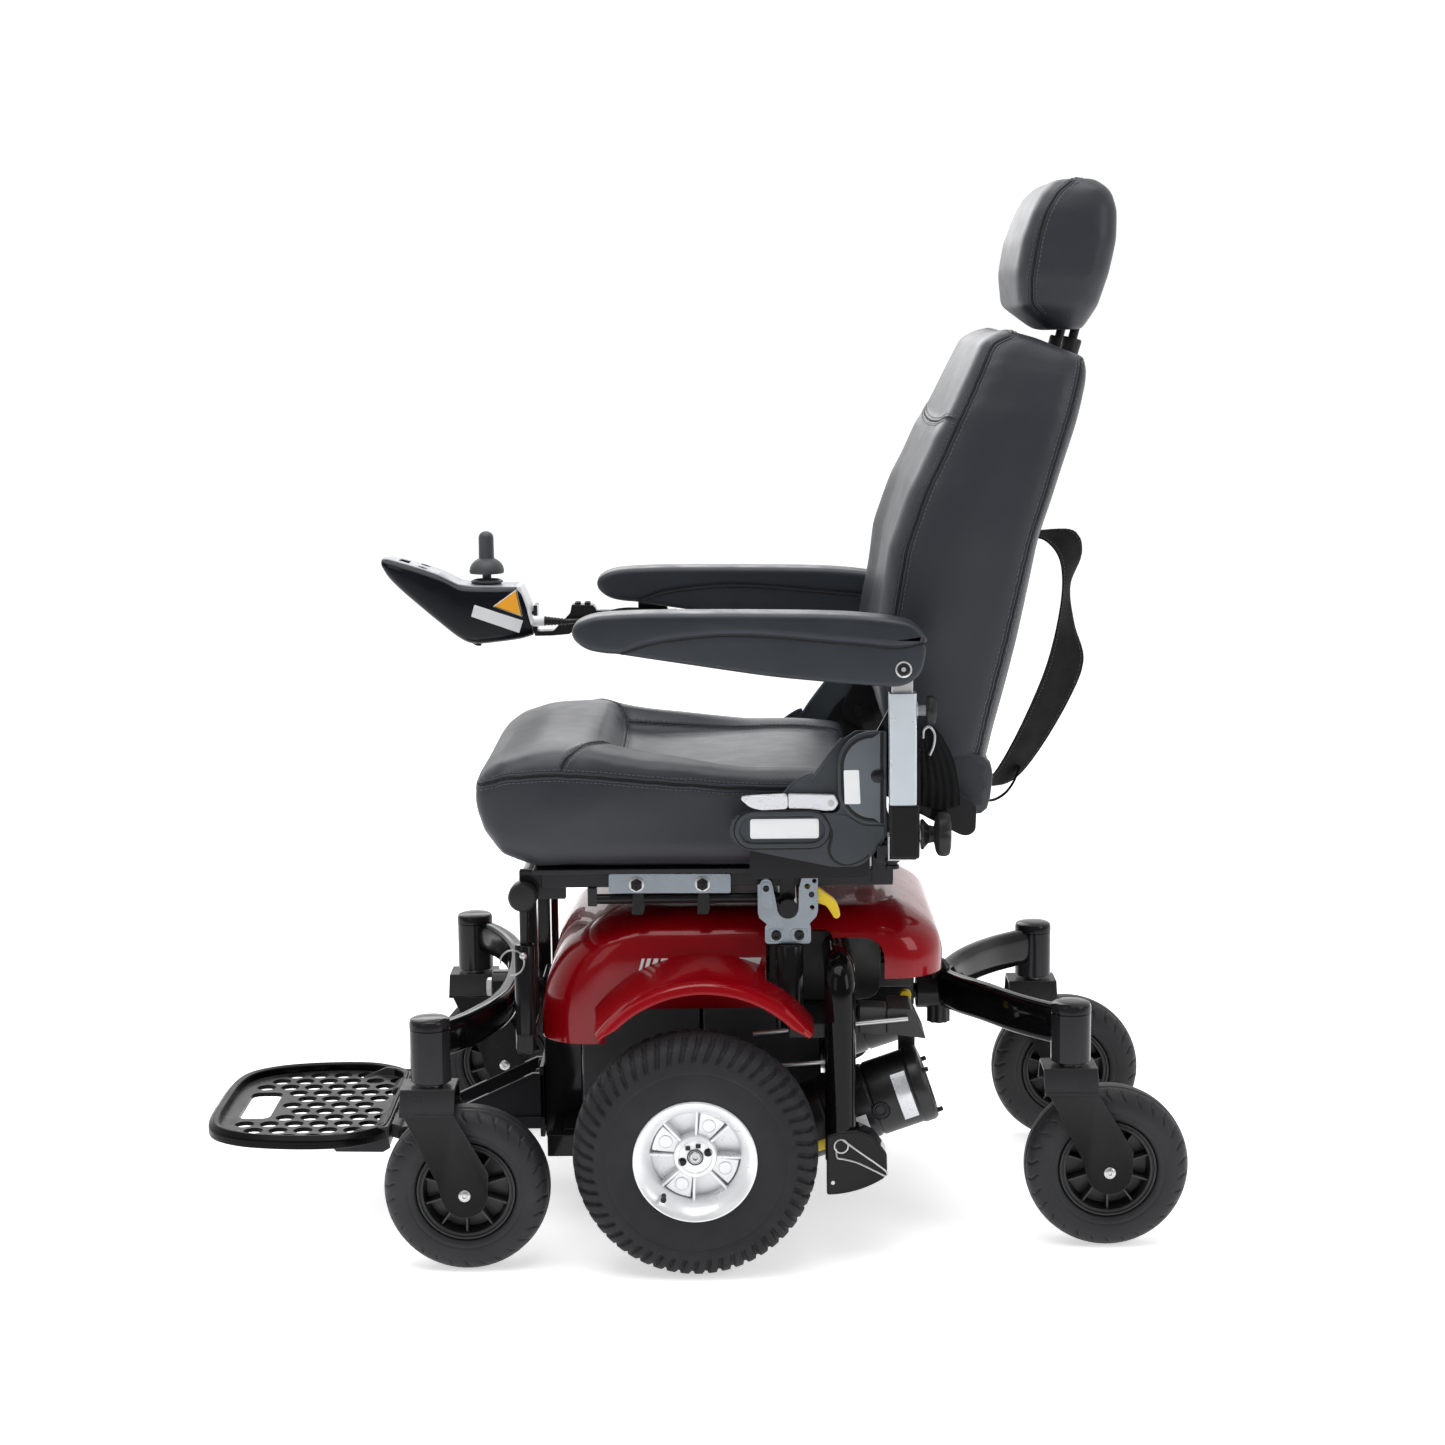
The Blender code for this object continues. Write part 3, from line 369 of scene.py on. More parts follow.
def rounded(outline, radius, count=5):
    """An outline with each corner replaced by a short arc."""
    result = []
    total = len(outline)
    for i, corner in enumerate(outline):
        here = Vector(corner)
        before = Vector(outline[i - 1]) - here
        after = Vector(outline[(i + 1) % total]) - here
        reach = min(radius, before.length * 0.45, after.length * 0.45)
        start, end = here + before.normalized() * reach, here + after.normalized() * reach
        for k in range(count):
            t = k / (count - 1)
            result.append(tuple(start * (1 - t) ** 2 + here * 2 * t * (1 - t) + end * t * t))
    return result


def slot_outline(centre, half_length, radius, tilt=0.0, count=9):
    """A long hole's outline: two half circles joined by straight sides."""
    points = arc((half_length, 0), radius, -90, 90, count) + arc((-half_length, 0), radius, 90, 270, count)
    c, s = math.cos(tilt), math.sin(tilt)
    return [(centre[0] + c * u - s * v, centre[1] + s * u + c * v) for u, v in points]


def rod(bm, start, end, radius, count=32, tip=None):
    """A round bar between two points, whose end radius may differ."""
    start, end = Vector(start), Vector(end)
    axis = (end - start).normalized()
    across = axis.orthogonal().normalized()
    other = axis.cross(across)
    angles = [math.tau * (i + 0.5) / count for i in range(count)]
    ring = [across * math.cos(a) + other * math.sin(a) for a in angles]
    sizes = (radius, radius if tip is None else tip)
    skin(bm, [[p + offset * r for offset in ring] for p, r in zip((start, end), sizes)])


def turned(bm, profile, centre, count=64, axis="X", side=1, closed=False):
    """A form turned about an axis: profile points are (radius, distance); closed makes it a ring."""
    rings = []
    for radius, along in profile:
        ring = []
        for i in range(count):
            a = math.tau * (i + 0.5) / count
            u, v = radius * math.cos(a), radius * math.sin(a)
            local = {"X": (side * along, u, v), "Y": (u, along, v), "Z": (u, v, along)}[axis]
            ring.append(tuple(c + d for c, d in zip(centre, local)))
        rings.append(ring)
    skin(bm, rings, closed)


def turned_along(bm, profile, start, direction, count=48, closed=False):
    """A solid turned about a slanted axis from start: profile points are (radius, distance)."""
    axis = Vector(direction).normalized()
    across = axis.orthogonal().normalized()
    other = axis.cross(across)
    rings = []
    for radius, along in profile:
        angles = [math.tau * i / count for i in range(count)]
        rings.append([
            Vector(start) + axis * along + (across * math.cos(a) + other * math.sin(a)) * radius
            for a in angles
        ])
    skin(bm, rings, closed)


def spline(a, b, c, d, t):
    """A point between b and c on the Catmull-Rom curve through four points."""
    return 0.5 * (2 * b + (c - a) * t + (2 * a - 5 * b + 4 * c - d) * t * t
                  + (3 * b - a - 3 * c + d) * t ** 3)


def curve(points, per):
    """A smooth open curve through points, with per steps from each one to the next."""
    pts = [Vector(p) for p in points]
    pts = [2 * pts[0] - pts[1]] + pts + [2 * pts[-1] - pts[-2]]
    fine = [spline(*four, k / per) for four in zip(pts, pts[1:], pts[2:], pts[3:]) for k in range(per)]
    return fine + [pts[-2]]


def running_lengths(points):
    lengths = [0.0]
    for a, b in zip(points, points[1:]):
        lengths.append(lengths[-1] + (b - a).length)
    return lengths


def spaced(fine, lengths, count, gaps):
    """The first count of the points that divide a line into gaps equal stretches."""
    result, k = [], 0
    for i in range(count):
        want = lengths[-1] * i / gaps
        while k < len(fine) - 2 and lengths[k + 1] < want:
            k += 1
        share = (want - lengths[k]) / max(lengths[k + 1] - lengths[k], 1e-9)
        result.append(fine[k].lerp(fine[k + 1], min(max(share, 0.0), 1.0)))
    return result


def smooth_path(points, step):
    """Evenly spread points, about step apart, on a smooth curve through the given ones."""
    fine = curve(points, 24)
    lengths = running_lengths(fine)
    count = max(int(lengths[-1] / step) + 1, 3)
    return spaced(fine, lengths, count, count - 1)


def closed_2d(points, count):
    """Evenly spread points on a smooth closed curve through 2-D points."""
    pts = [Vector(p) for p in points]
    fours = zip(pts[-1:] + pts[:-1], pts, pts[1:] + pts[:1], pts[2:] + pts[:2])
    fine = [spline(*four, k / 16) for four in fours for k in range(16)]
    fine.append(fine[0])
    return [tuple(p) for p in spaced(fine, running_lengths(fine), count, count)]


def swept(bm, path, width, height, count=24, up=(0.0, 0.0, 1.0), square=1.0):
    """A tube along a path. Width is across it and height along up; square above 1 flattens its sides."""
    rings = []
    for i, point in enumerate(path):
        ahead = path[min(i + 1, len(path) - 1)] - path[max(i - 1, 0)]
        across = ahead.cross(Vector(up)).normalized()
        rise = across.cross(ahead).normalized()
        ring = []
        for k in range(count):
            a = math.tau * (k + 0.5) / count
            c, s = math.cos(a), math.sin(a)
            u = math.copysign(abs(c) ** (1 / square), c)
            v = math.copysign(abs(s) ** (1 / square), s)
            ring.append(point + across * (width / 2 * u) + rise * (height / 2 * v))
        rings.append(ring)
    skin(bm, rings)


def ball(bm, centre, radius, count=20):
    profile = [(radius * math.sin(math.pi * k / 10), -radius * math.cos(math.pi * k / 10))
               for k in range(1, 10)]
    turned(bm, profile, centre, count, "Z")


def hex_prism(bm, centre, radius, depth, side):
    """A hexagon nut or bolt head that stands outwards along X."""
    turned(bm, [(radius, 0), (radius, depth * 0.8), (radius * 0.88, depth)], centre, 6, side=side)


def bolt_head(bm, centre, radius, depth, side, count=24):
    """A round socket head that stands outwards along X, with a hexagon recess."""
    turned(bm, [(radius, 0), (radius, depth * 0.7), (radius * 0.85, depth), (radius * 0.45, depth),
                (radius * 0.42, depth * 0.35)], centre, count, side=side)


def cut_out(obj, bm):
    """Cuts a hole through a finished piece, and leaves only the result."""
    tool = in_scene(obj.name + "_tool", finish_mesh(bm, obj.name + "_tool"))
    mod = obj.modifiers.new("cut", "BOOLEAN")
    mod.operation = "DIFFERENCE"
    mod.object = tool
    mod.use_self = True
    apply_modifiers(obj)
    bpy.data.objects.remove(tool)


def apply_modifiers(obj):
    """Makes an object's evaluated mesh its own, without modifiers."""
    bpy.context.view_layer.update()
    graph = bpy.context.evaluated_depsgraph_get()
    mesh = bpy.data.meshes.new_from_object(obj.evaluated_get(graph), depsgraph=graph)
    obj.modifiers.clear()
    obj.data = mesh


def cut_piece(name, bm, cutter, finish, body, replaces=(), bevel=0.0, segments=2, smooth_deg=SMOOTH_DEG):
    """A piece with holes cut first, and edges rounded afterwards."""
    obj = in_scene(name, finish_mesh(bm, name, smooth_deg))
    cut_out(obj, cutter)
    shade(obj.data, smooth_deg)
    return dress(obj, finish, body, replaces, bevel, segments)


# ---------------------------------------------------------------- padded pieces

def coords(mesh):
    data = np.zeros(len(mesh.vertices) * 3)
    mesh.vertices.foreach_get("co", data)
    return data.reshape(-1, 3)


def set_coords(mesh, points):
    mesh.vertices.foreach_set("co", points.astype(np.float32).ravel())
    mesh.update()


def padded_ring(front, rear, half_w, corner, count=7):
    """A rounded rectangle across X, between a front and a rear (y, z) point."""
    front, rear = Vector(front), Vector(rear)
    depth = (rear - front).length
    along = (rear - front) / depth
    corner = min(corner, depth * 0.48, half_w * 0.48)
    ring = []
    for cx, cy, start in ((1, 0, -90), (1, 1, 0), (-1, 1, 90), (-1, 0, 180)):
        for u, v in arc((cx * (half_w - corner), corner + cy * (depth - 2 * corner)), corner,
                        start, start + 90, count):
            spot = front + along * v
            ring.append((u, spot[0], spot[1]))
    return ring


BUCKLE_ROUNDS, CLOTH_FRAMES = 40, 20


def evened(mesh, field, rounds):
    """A vector for each vertex, averaged with its neighbours' again and again."""
    ends = np.zeros(len(mesh.edges) * 2, dtype=np.int64)
    mesh.edges.foreach_get("vertices", ends)
    first, second = ends[::2], ends[1::2]
    count, size = np.bincount(ends), len(field)
    for _ in range(rounds):
        total = np.stack([
            np.bincount(first, field[second, k], size) + np.bincount(second, field[first, k], size)
            for k in range(3)
        ], axis=1)
        field = 0.5 * field + 0.5 * total / count[:, None]
    return field


def puff(obj, voxel, pressure, cap):
    """Remeshes a closed form and swells it by cloth simulation, capped and freed of small buckles."""
    mod = obj.modifiers.new("remesh", "REMESH")
    mod.mode = "VOXEL"
    mod.voxel_size = voxel * MM
    apply_modifiers(obj)
    start = coords(obj.data)
    scene = bpy.context.scene
    mod = obj.modifiers.new("cloth", "CLOTH")
    mod.settings.quality = 5
    mod.settings.mass = 0.25
    mod.settings.tension_stiffness = 12
    mod.settings.compression_stiffness = 12
    mod.settings.bending_stiffness = 4.0
    mod.settings.use_pressure = True
    mod.settings.uniform_pressure_force = pressure
    mod.settings.effector_weights.gravity = 0
    mod.point_cache.frame_start = 1
    mod.point_cache.frame_end = CLOTH_FRAMES
    for number in range(1, CLOTH_FRAMES + 1):
        scene.frame_set(number)
    graph = bpy.context.evaluated_depsgraph_get()
    swollen = coords(obj.evaluated_get(graph).to_mesh()).copy()
    obj.modifiers.clear()
    scene.frame_set(1)
    move = swollen - start
    length = np.linalg.norm(move, axis=1, keepdims=True)
    move *= np.minimum(1.0, cap * MM / np.maximum(length, 1e-9))
    set_coords(obj.data, start + evened(obj.data, move, BUCKLE_ROUNDS))
    mod = obj.modifiers.new("relax", "SMOOTH")
    mod.factor = 0.5
    mod.iterations = 6
    mod = obj.modifiers.new("smooth", "SUBSURF")
    mod.levels = mod.render_levels = 1
    apply_modifiers(obj)
    obj.data.shade_smooth()


def soft_form(name, rings, voxel, pressure, cap):
    """A padded form through rings; voxel and cap are in millimetres."""
    obj = in_scene(name, finish_mesh(made(skin, rings), name))
    puff(obj, voxel, pressure, cap)
    return obj


def reshape(obj, change):
    """Moves the vertices by a function of their x, y, z in millimetres from the drive axle."""
    points = coords(obj.data)
    x, y, z = points[:, 0] / MM, (points[:, 1] - AXLE_Y) / MM, points[:, 2] / MM
    x, y, z = change(x, y, z)
    set_coords(obj.data, np.stack([x * MM, y * MM + AXLE_Y, z * MM], axis=1))


def step(value, start, end):
    """A smooth step from 0 to 1, for arrays."""
    t = np.clip((value - start) / (end - start), 0, 1)
    return t * t * (3 - 2 * t)


def surface_of(obj):
    bm = bmesh.new()
    bm.from_mesh(obj.data)
    tree = BVHTree.FromBMesh(bm)
    bm.free()
    return tree


def on_surface(tree, points):
    """Nearest places and normals on a piece's surface, in millimetres from the drive axle."""
    found = []
    for point in points:
        spot, normal, _, _ = tree.find_nearest(Vector((point.x, point.y, point.z)) * MM
                                               + Vector((0, AXLE_Y, 0)))
        found.append((design(spot), normal))
    return found


CHUNK = 20000


def groove(obj, lines, depth, width):
    """Presses seam lines into a padded piece, with a slight rise on each side."""
    points = coords(obj.data)
    normals = np.zeros(len(points) * 3)
    obj.data.vertex_normals.foreach_get("vector", normals)
    normals = normals.reshape(-1, 3)
    nearest = np.full(len(points), 1e9)
    for line in lines:
        path = np.array([(p.x * MM, p.y * MM + AXLE_Y, p.z * MM) for p in smooth_path(line, 4)])
        for start in range(0, len(points), CHUNK):
            part = slice(start, start + CHUNK)
            gap = np.linalg.norm(points[part, None, :] - path[None, :, :], axis=2).min(axis=1)
            nearest[part] = np.minimum(nearest[part], gap)
    near = nearest / (width * MM)
    push = -depth * np.exp(-near ** 2) + 0.35 * depth * np.exp(-((near - 2.2) / 0.9) ** 2)
    set_coords(obj.data, points + normals * push[:, None] * MM)


def seam(name, obj, lines, body, piping=1.5, offset=2.6, rows=(6.0,), stitch=3.6):
    """Welts on both sides of each seam line and rows of stitches beside them, all laid on the surface."""
    tree = surface_of(obj)
    welt, thread, seam_shade = bmesh.new(), bmesh.new(), bmesh.new()
    for line in lines:
        spots = on_surface(tree, smooth_path(line, 2.5))
        places = [spot for spot, _ in spots]
        sides = []
        for i, (spot, normal) in enumerate(spots):
            ahead = places[min(i + 1, len(places) - 1)] - places[max(i - 1, 0)]
            sides.append(normal.cross(ahead).normalized())
        ends = range(len(places))
        # A thin near-black tube along each seam's middle: painted shade in the seam's groove.
        tube(seam_shade, [spot + normal * 0.1 for spot, normal in spots],
             [min(0.95, 0.2 + 0.2 * min(i, len(places) - 1 - i)) for i in ends], 6)
        for sign in (-1, 1):
            edge = on_surface(tree, [p + s * sign * offset for p, s in zip(places, sides)])
            path = [p - n * piping * 0.25 for p, n in edge]
            tube(welt, path, [piping * min(1, 0.25 + 0.25 * min(i, len(path) - 1 - i))
                              for i in range(len(path))])
        for row in rows:
            for sign in (-1, 1):
                edge = on_surface(tree, [p + s * sign * row for p, s in zip(places, sides)])
                for first, second in zip(edge[::2], edge[1::2]):
                    a, b = first[0] + first[1] * 0.15, second[0] + second[1] * 0.15
                    middle = (a + b) / 2
                    if (b - a).length < 0.2:
                        continue
                    one_stitch(thread, middle, (b - a).normalized() * stitch / 2, 0.2, 0.55)
    piece(name + "_welt", welt, "vinyl", body)
    piece(name + "_thread", thread, "thread", body)
    piece(name + "_fold", seam_shade, "painted_shade_black", body)


def tube(bm, path, radii, count=8):
    """A round tube along a path, with one radius for each point or one for all."""
    if not isinstance(radii, list):
        radii = [radii] * len(path)
    rings = []
    for i, point in enumerate(path):
        ahead = (path[min(i + 1, len(path) - 1)] - path[max(i - 1, 0)]).normalized()
        across = ahead.orthogonal().normalized() if i == 0 else across - ahead * across.dot(ahead)
        across.normalize()
        other = ahead.cross(across)
        rings.append([
            point + (across * math.cos(a) + other * math.sin(a)) * radii[i]
            for a in (math.tau * k / count for k in range(count))
        ])
    skin(bm, rings)


def one_stitch(bm, middle, reach, tip, radius):
    places = [middle - reach, middle - reach * 0.6, middle + reach * 0.6, middle + reach]
    tube(bm, places, [tip, radius, radius, tip], 5)


def mirror_lines(lines):
    return lines + [[(-x, y, z) for x, y, z in line] for line in lines]


HEADREST_POSTS = (-62, 62)


def seat_cushion():
    low = box_of("seat_cushion")[0]
    stations = [(-238, 490, 508, 190), (-229, 460, 524, 200), (-210, 436, 535, 207),
                (-170, 424, 543, 210), (-110, 423, 545, 210), (-50, 423, 536, 210),
                (60, 423, 524, 210), (150, 423, 521, 209), (178, 427, 520, 204)]
    rings = [[(x, y, z) for x, _, z in padded_ring((0, bottom), (0, top), half_w, 22)]
             for y, bottom, top, half_w in stations]
    cushion = soft_form("seat_pad", rings, 6.0, 4.0, 6.0)

    def shape(x, y, z):
        upper = step(z, 470, 515)
        wide = 118 + 26 * step(y, -80, 60)
        hollow = (1 - step(np.abs(x), wide - 18, wide + 34)) * step(y, -104, -78)
        z = z - (24 - 12 * step(y, -60, 120)) * hollow * upper
        roll = step(-y, 75, 120) * (1 - step(np.abs(x), 120, 205)) * upper
        z = z + 5 * roll
        tuck = np.exp(-((z - 470) / 40) ** 2) * step(y, -190, -60)
        x = x * (1 - 0.008 * tuck)
        x = np.clip(x, -219.5, 219.5)
        z = np.where(y > -176, np.maximum(z, low.z), z)
        return x, np.clip(y, low.y - 3, 186.5), z

    reshape(cushion, shape)
    edge = [(217, 150, 511), (217, 60, 512), (217, -20, 517), (217, -84, 523), (217, -140, 527),
            (214, -188, 525), (205, -229, 519), (180, -242, 518), (90, -246, 518), (0, -247, 518)]
    edge_loop = edge + [(-x, y, z) for x, y, z in reversed(edge[:-1])]
    corner = [(126, -88, 520), (148, -102, 534), (176, -119, 546), (200, -133, 543), (213, -140, 530)]
    panel = [(126, -88, 520), (136, -40, 516), (146, 20, 512), (150, 90, 510), (150, 176, 510)]
    lines = [edge_loop] + mirror_lines([corner, panel])
    lines += [[(126, -88, 520), (64, -84, 520), (0, -83, 520), (-64, -84, 520), (-126, -88, 520)]]
    groove(cushion, lines, 2.4, 3.0)
    dress(cushion, "vinyl", "seat", ("seat_cushion",))
    seam("seat_seam", cushion, lines[:1], "seat")
    seam("seat_panel_seam", cushion, lines[1:], "seat", 1.1, 2.0, (4.6,))


def backrest():
    stations = [((268, 490), (308, 490), 194), ((241, 520), (311, 520), 199),
                ((210, 562), (322, 566), 200), ((198, 650), (345, 655), 201),
                ((216, 760), (369, 766), 201), ((237, 820), (387, 826), 199),
                ((278, 905), (409, 893), 190), ((303, 955), (421, 934), 176),
                ((314, 979), (425, 950), 166), ((337, 990), (422, 959), 154)]
    back = soft_form("back_pad", [padded_ring(f, r, w, 26) for f, r, w in stations], 6.0, 4.0, 5.0)
    low, high = box_of("backrest")

    def shape(x, y, z):
        face = 1 - step(y - (200 + 0.42 * (z - 640)), 20, 70)
        centre = 1 - step(np.abs(x), 105, 172)
        hollow = centre * face * np.exp(-((z - 730) / 150) ** 2)
        y = y + 12 * hollow
        lower = face * (1 - step(z, 874, 896)) * step(z, 560, 640)
        y = y - 3.0 * lower * (1 - step(np.abs(x), 150, 190))
        y = np.clip(y, low.y - 4, high.y + 4)
        return np.clip(x, -209, 209), y, z

    reshape(back, shape)
    side = [(156, 344, 990), (170, 316, 978), (180, 303, 955), (192, 280, 901), (200, 250, 838),
            (205, 224, 771), (206, 208, 703), (205, 203, 640), (203, 216, 572), (199, 250, 520)]
    rear = [(158, 424, 962), (180, 420, 930), (196, 402, 870), (205, 373, 766), (206, 350, 680),
            (206, 328, 590), (203, 314, 520), (198, 306, 488)]
    across = [(176, 288, 890), (120, 276, 885), (60, 272, 883), (0, 271, 882)]
    across += [(-x, y, z) for x, y, z in reversed(across[:-1])]
    top = [(156, 344, 990), (80, 346, 992), (0, 347, 993), (-80, 346, 992), (-156, 344, 990)]
    top_rear = [(158, 424, 962), (80, 427, 962), (0, 428, 962), (-80, 427, 962), (-158, 424, 962)]
    lines = mirror_lines([side, rear]) + [across, top, top_rear]
    groove(back, lines, 2.0, 3.2)
    cutter = bmesh.new()
    for x in HEADREST_POSTS:
        rod(cutter, headrest_point(x, -92), headrest_point(x, 60), 6.2, 24)
    cut_out(back, cutter)
    back.data.shade_smooth()
    dress(back, "vinyl", "back", ("backrest",))
    seam("back_seam", back, lines[:4], "back")
    seam("back_top_seam", back, lines[4:], "back", 1.1, 2.0, (4.6,))
    grommets = bmesh.new()
    for x in HEADREST_POSTS:
        lean = Vector(headrest_point(x, 1)) - Vector(headrest_point(x, 0))
        turned_along(grommets, [(6.6, -34), (10, -34), (10.5, -17), (9.5, -15), (6.6, -15)],
                     headrest_point(x, 0), lean, closed=True)
    piece("headrest_guides", grommets, "knob_black", "back", bevel=0.6)
    flap()


def flap():
    """The loose cover that hangs over the backrest's lower edge and folds in towards the seat."""
    rows = []
    for x in np.linspace(-198, 198, 67):
        curl = 2.2 * math.sin(x * 0.16) + 1.4 * math.sin(x * 0.37 + 1.0)
        edge = 1 - abs(x) / 198
        low = 478 + 3 * math.sin(x * 0.05)
        rows.append([(x, 322 + curl * 0.4, 530), (x, 319 + curl * 0.7, 508), (x, 317 + curl, low),
                     (x, 300 + curl * 0.5, low - 3 + curl * 0.2), (x, 268 - 3 * edge, low + 4 + curl * 0.5),
                     (x, 240, 500 + curl), (x, 226, 524 + curl * 0.7), (x, 232, 545),
                     (x, 262, 545), (x, 300, 545)])
    piece("back_flap", made(skin, rows), "vinyl", "back", smooth_deg=60, subdivide=1)


def headrest_point(x, along):
    """A point on a headrest post's line, measured along it from the headrest's underside."""
    rise = Vector(JOINTS["headrest_height"]["axis"])
    return Vector((x, 420, 990)) + rise * along


def headrest():
    stations = [((388, 985), (424, 984), 100), ((353, 1010), (439, 1010), 119),
                ((350, 1045), (449, 1043), 126), ((356, 1080), (457, 1080), 126),
                ((367, 1110), (458, 1112), 124), ((378, 1130), (452, 1132), 117),
                ((392, 1143), (436, 1144), 104)]
    rest = soft_form("headrest_pad", [padded_ring(f, r, w, 26) for f, r, w in stations], 5.0, 4.0, 5.0)
    low, high = box_of("headrest")
    reshape(rest, lambda x, y, z: (np.clip(x, low.x - 3, high.x + 3), y, np.clip(z, 981, high.z + 4)))
    side = [(108, 412, 1147), (120, 390, 1128), (127, 374, 1096), (128, 365, 1050), (125, 362, 1014),
            (112, 377, 993)]
    top = [(108, 414, 1148), (56, 418, 1152), (0, 419, 1153), (-56, 418, 1152), (-108, 414, 1148)]
    lines = mirror_lines([side]) + [top]
    groove(rest, lines, 1.8, 3.0)
    dress(rest, "vinyl", "headrest", ("headrest",))
    seam("headrest_seam", rest, lines, "headrest", 1.2, 2.2, (5.0,))
    posts = bmesh.new()
    for x in HEADREST_POSTS:
        lean = headrest_point(x, 1) - headrest_point(x, 0)
        turned_along(posts, [(3.5, -88), (5, -86), (5, 25)], headrest_point(x, 0), lean)
    piece("headrest_posts", posts, "black_bolt", "headrest")


# ---------------------------------------------------------------- wheels

def tyre_mesh(half, centre, count, side, relief):
    """A tyre whose tread is cut by relief(angle, radius, across), a depth in millimetres."""
    outer = curve(half, 4)
    profile = [(p.x, p.y) for p in outer] + [(p.x, -p.y) for p in reversed(outer[:-1])]
    rings = []
    for i in range(count):
        angle = math.tau * (i + 0.5) / count
        ring = []
        for k, (r, across) in enumerate(profile):
            before, after = profile[max(k - 1, 0)], profile[min(k + 1, len(profile) - 1)]
            along = Vector((after[0] - before[0], after[1] - before[1])).normalized()
            out = Vector((along.y * -1, along.x)) * -1
            if out.x < 0 and abs(out.x) > abs(out.y):
                out = -out
            if abs(out.y) > 0.3 and out.y * across < 0:
                out = -out
            depth = relief(angle, r, across)
            rr, xx = r - abs(out.x) * depth, across - math.copysign(abs(out.y), across) * depth
            ring.append((centre.x + side * xx, centre.y + rr * math.cos(angle),
                         centre.z + rr * math.sin(angle)))
        rings.append(ring)
    bm = made(skin, rings, closed=True)
    return bm


def ramp(value, start, end):
    """A smooth step from 0 to 1, for one number."""
    t = min(max((value - start) / (end - start), 0.0), 1.0)
    return t * t * (3 - 2 * t)


def drive_tyre(name, side):
    """A pneumatic tyre with side lugs and a zigzag groove, and its valve."""
    lugs = 54

    def relief(angle, r, across):
        swirl = (r - 112) * 0.022
        phase = angle * lugs + swirl * lugs * 0.12 + (math.pi if across < 0 else 0)
        lug = ramp(math.cos(phase), -0.62, -0.25)
        shoulder = ramp(r, 105, 110)
        side_cut = 3.4 * (1 - lug) * shoulder * ramp(abs(across), 9, 13)
        zigzag = abs(abs(across) - 4.5 - 2.5 * math.cos(angle * lugs))
        centre_cut = 3.0 * (1 - ramp(zigzag, 1.2, 2.4)) * ramp(r, 125, 128)
        inner_step = 1.3 * (1 - ramp(r, 95.5, 97.5)) * ramp(abs(across), 20, 30)
        return max(side_cut, centre_cut) + inner_step

    half = [(60.4, 33), (63, 37), (72, 41.5), (84, 43.3), (94, 43.0), (97, 42.3), (104, 41.4), (112, 39.4),
            (119, 36), (124.5, 30), (128, 21), (129.6, 11), (130, 0)]
    bm = tyre_mesh(half, joint_spot(f"{name}_drive_spin"), lugs * 10, side, relief)
    piece(f"{name}_tyre_tread", bm, "tyre", f"{name}_drive_wheel", (f"{name}_drive_tyre",), smooth_deg=50)
    centre = joint_spot(f"{name}_drive_spin")
    spot = around(centre, side * 30, 51, 4.0)
    valve = made(rod, spot, spot + Vector((side * 13, 0, 0)), 2.6, 16, 2.2)
    rod(valve, spot + Vector((side * 13, 0, 0)), spot + Vector((side * 17, 0, 0)), 3.2, 16, 2.8)
    piece(f"{name}_valve", valve, "tyre", f"{name}_drive_wheel", bevel=0.4)


def sector(centre, start_r, end_r, start, end, count=8):
    """The outline of a part of a flat ring, between two radii and two angles in degrees."""
    return arc(centre, end_r, start, end, count) + arc(centre, start_r, end, start, count)


def rib(hub, angle, start, end, half):
    """The outline of a straight rib between two radii, and of a given half width."""
    ahead = Vector((math.cos(angle), math.sin(angle)))
    across = Vector((-ahead.y, ahead.x)) * half
    return [tuple(Vector(hub) + ahead * r + across * sign)
            for r, sign in ((start, -1), (end, -1), (end, 1), (start, 1))]


def around(centre, along, radius, angle):
    """A point round a sideways axis, at a distance along it."""
    return centre + Vector((along, radius * math.cos(angle), radius * math.sin(angle)))


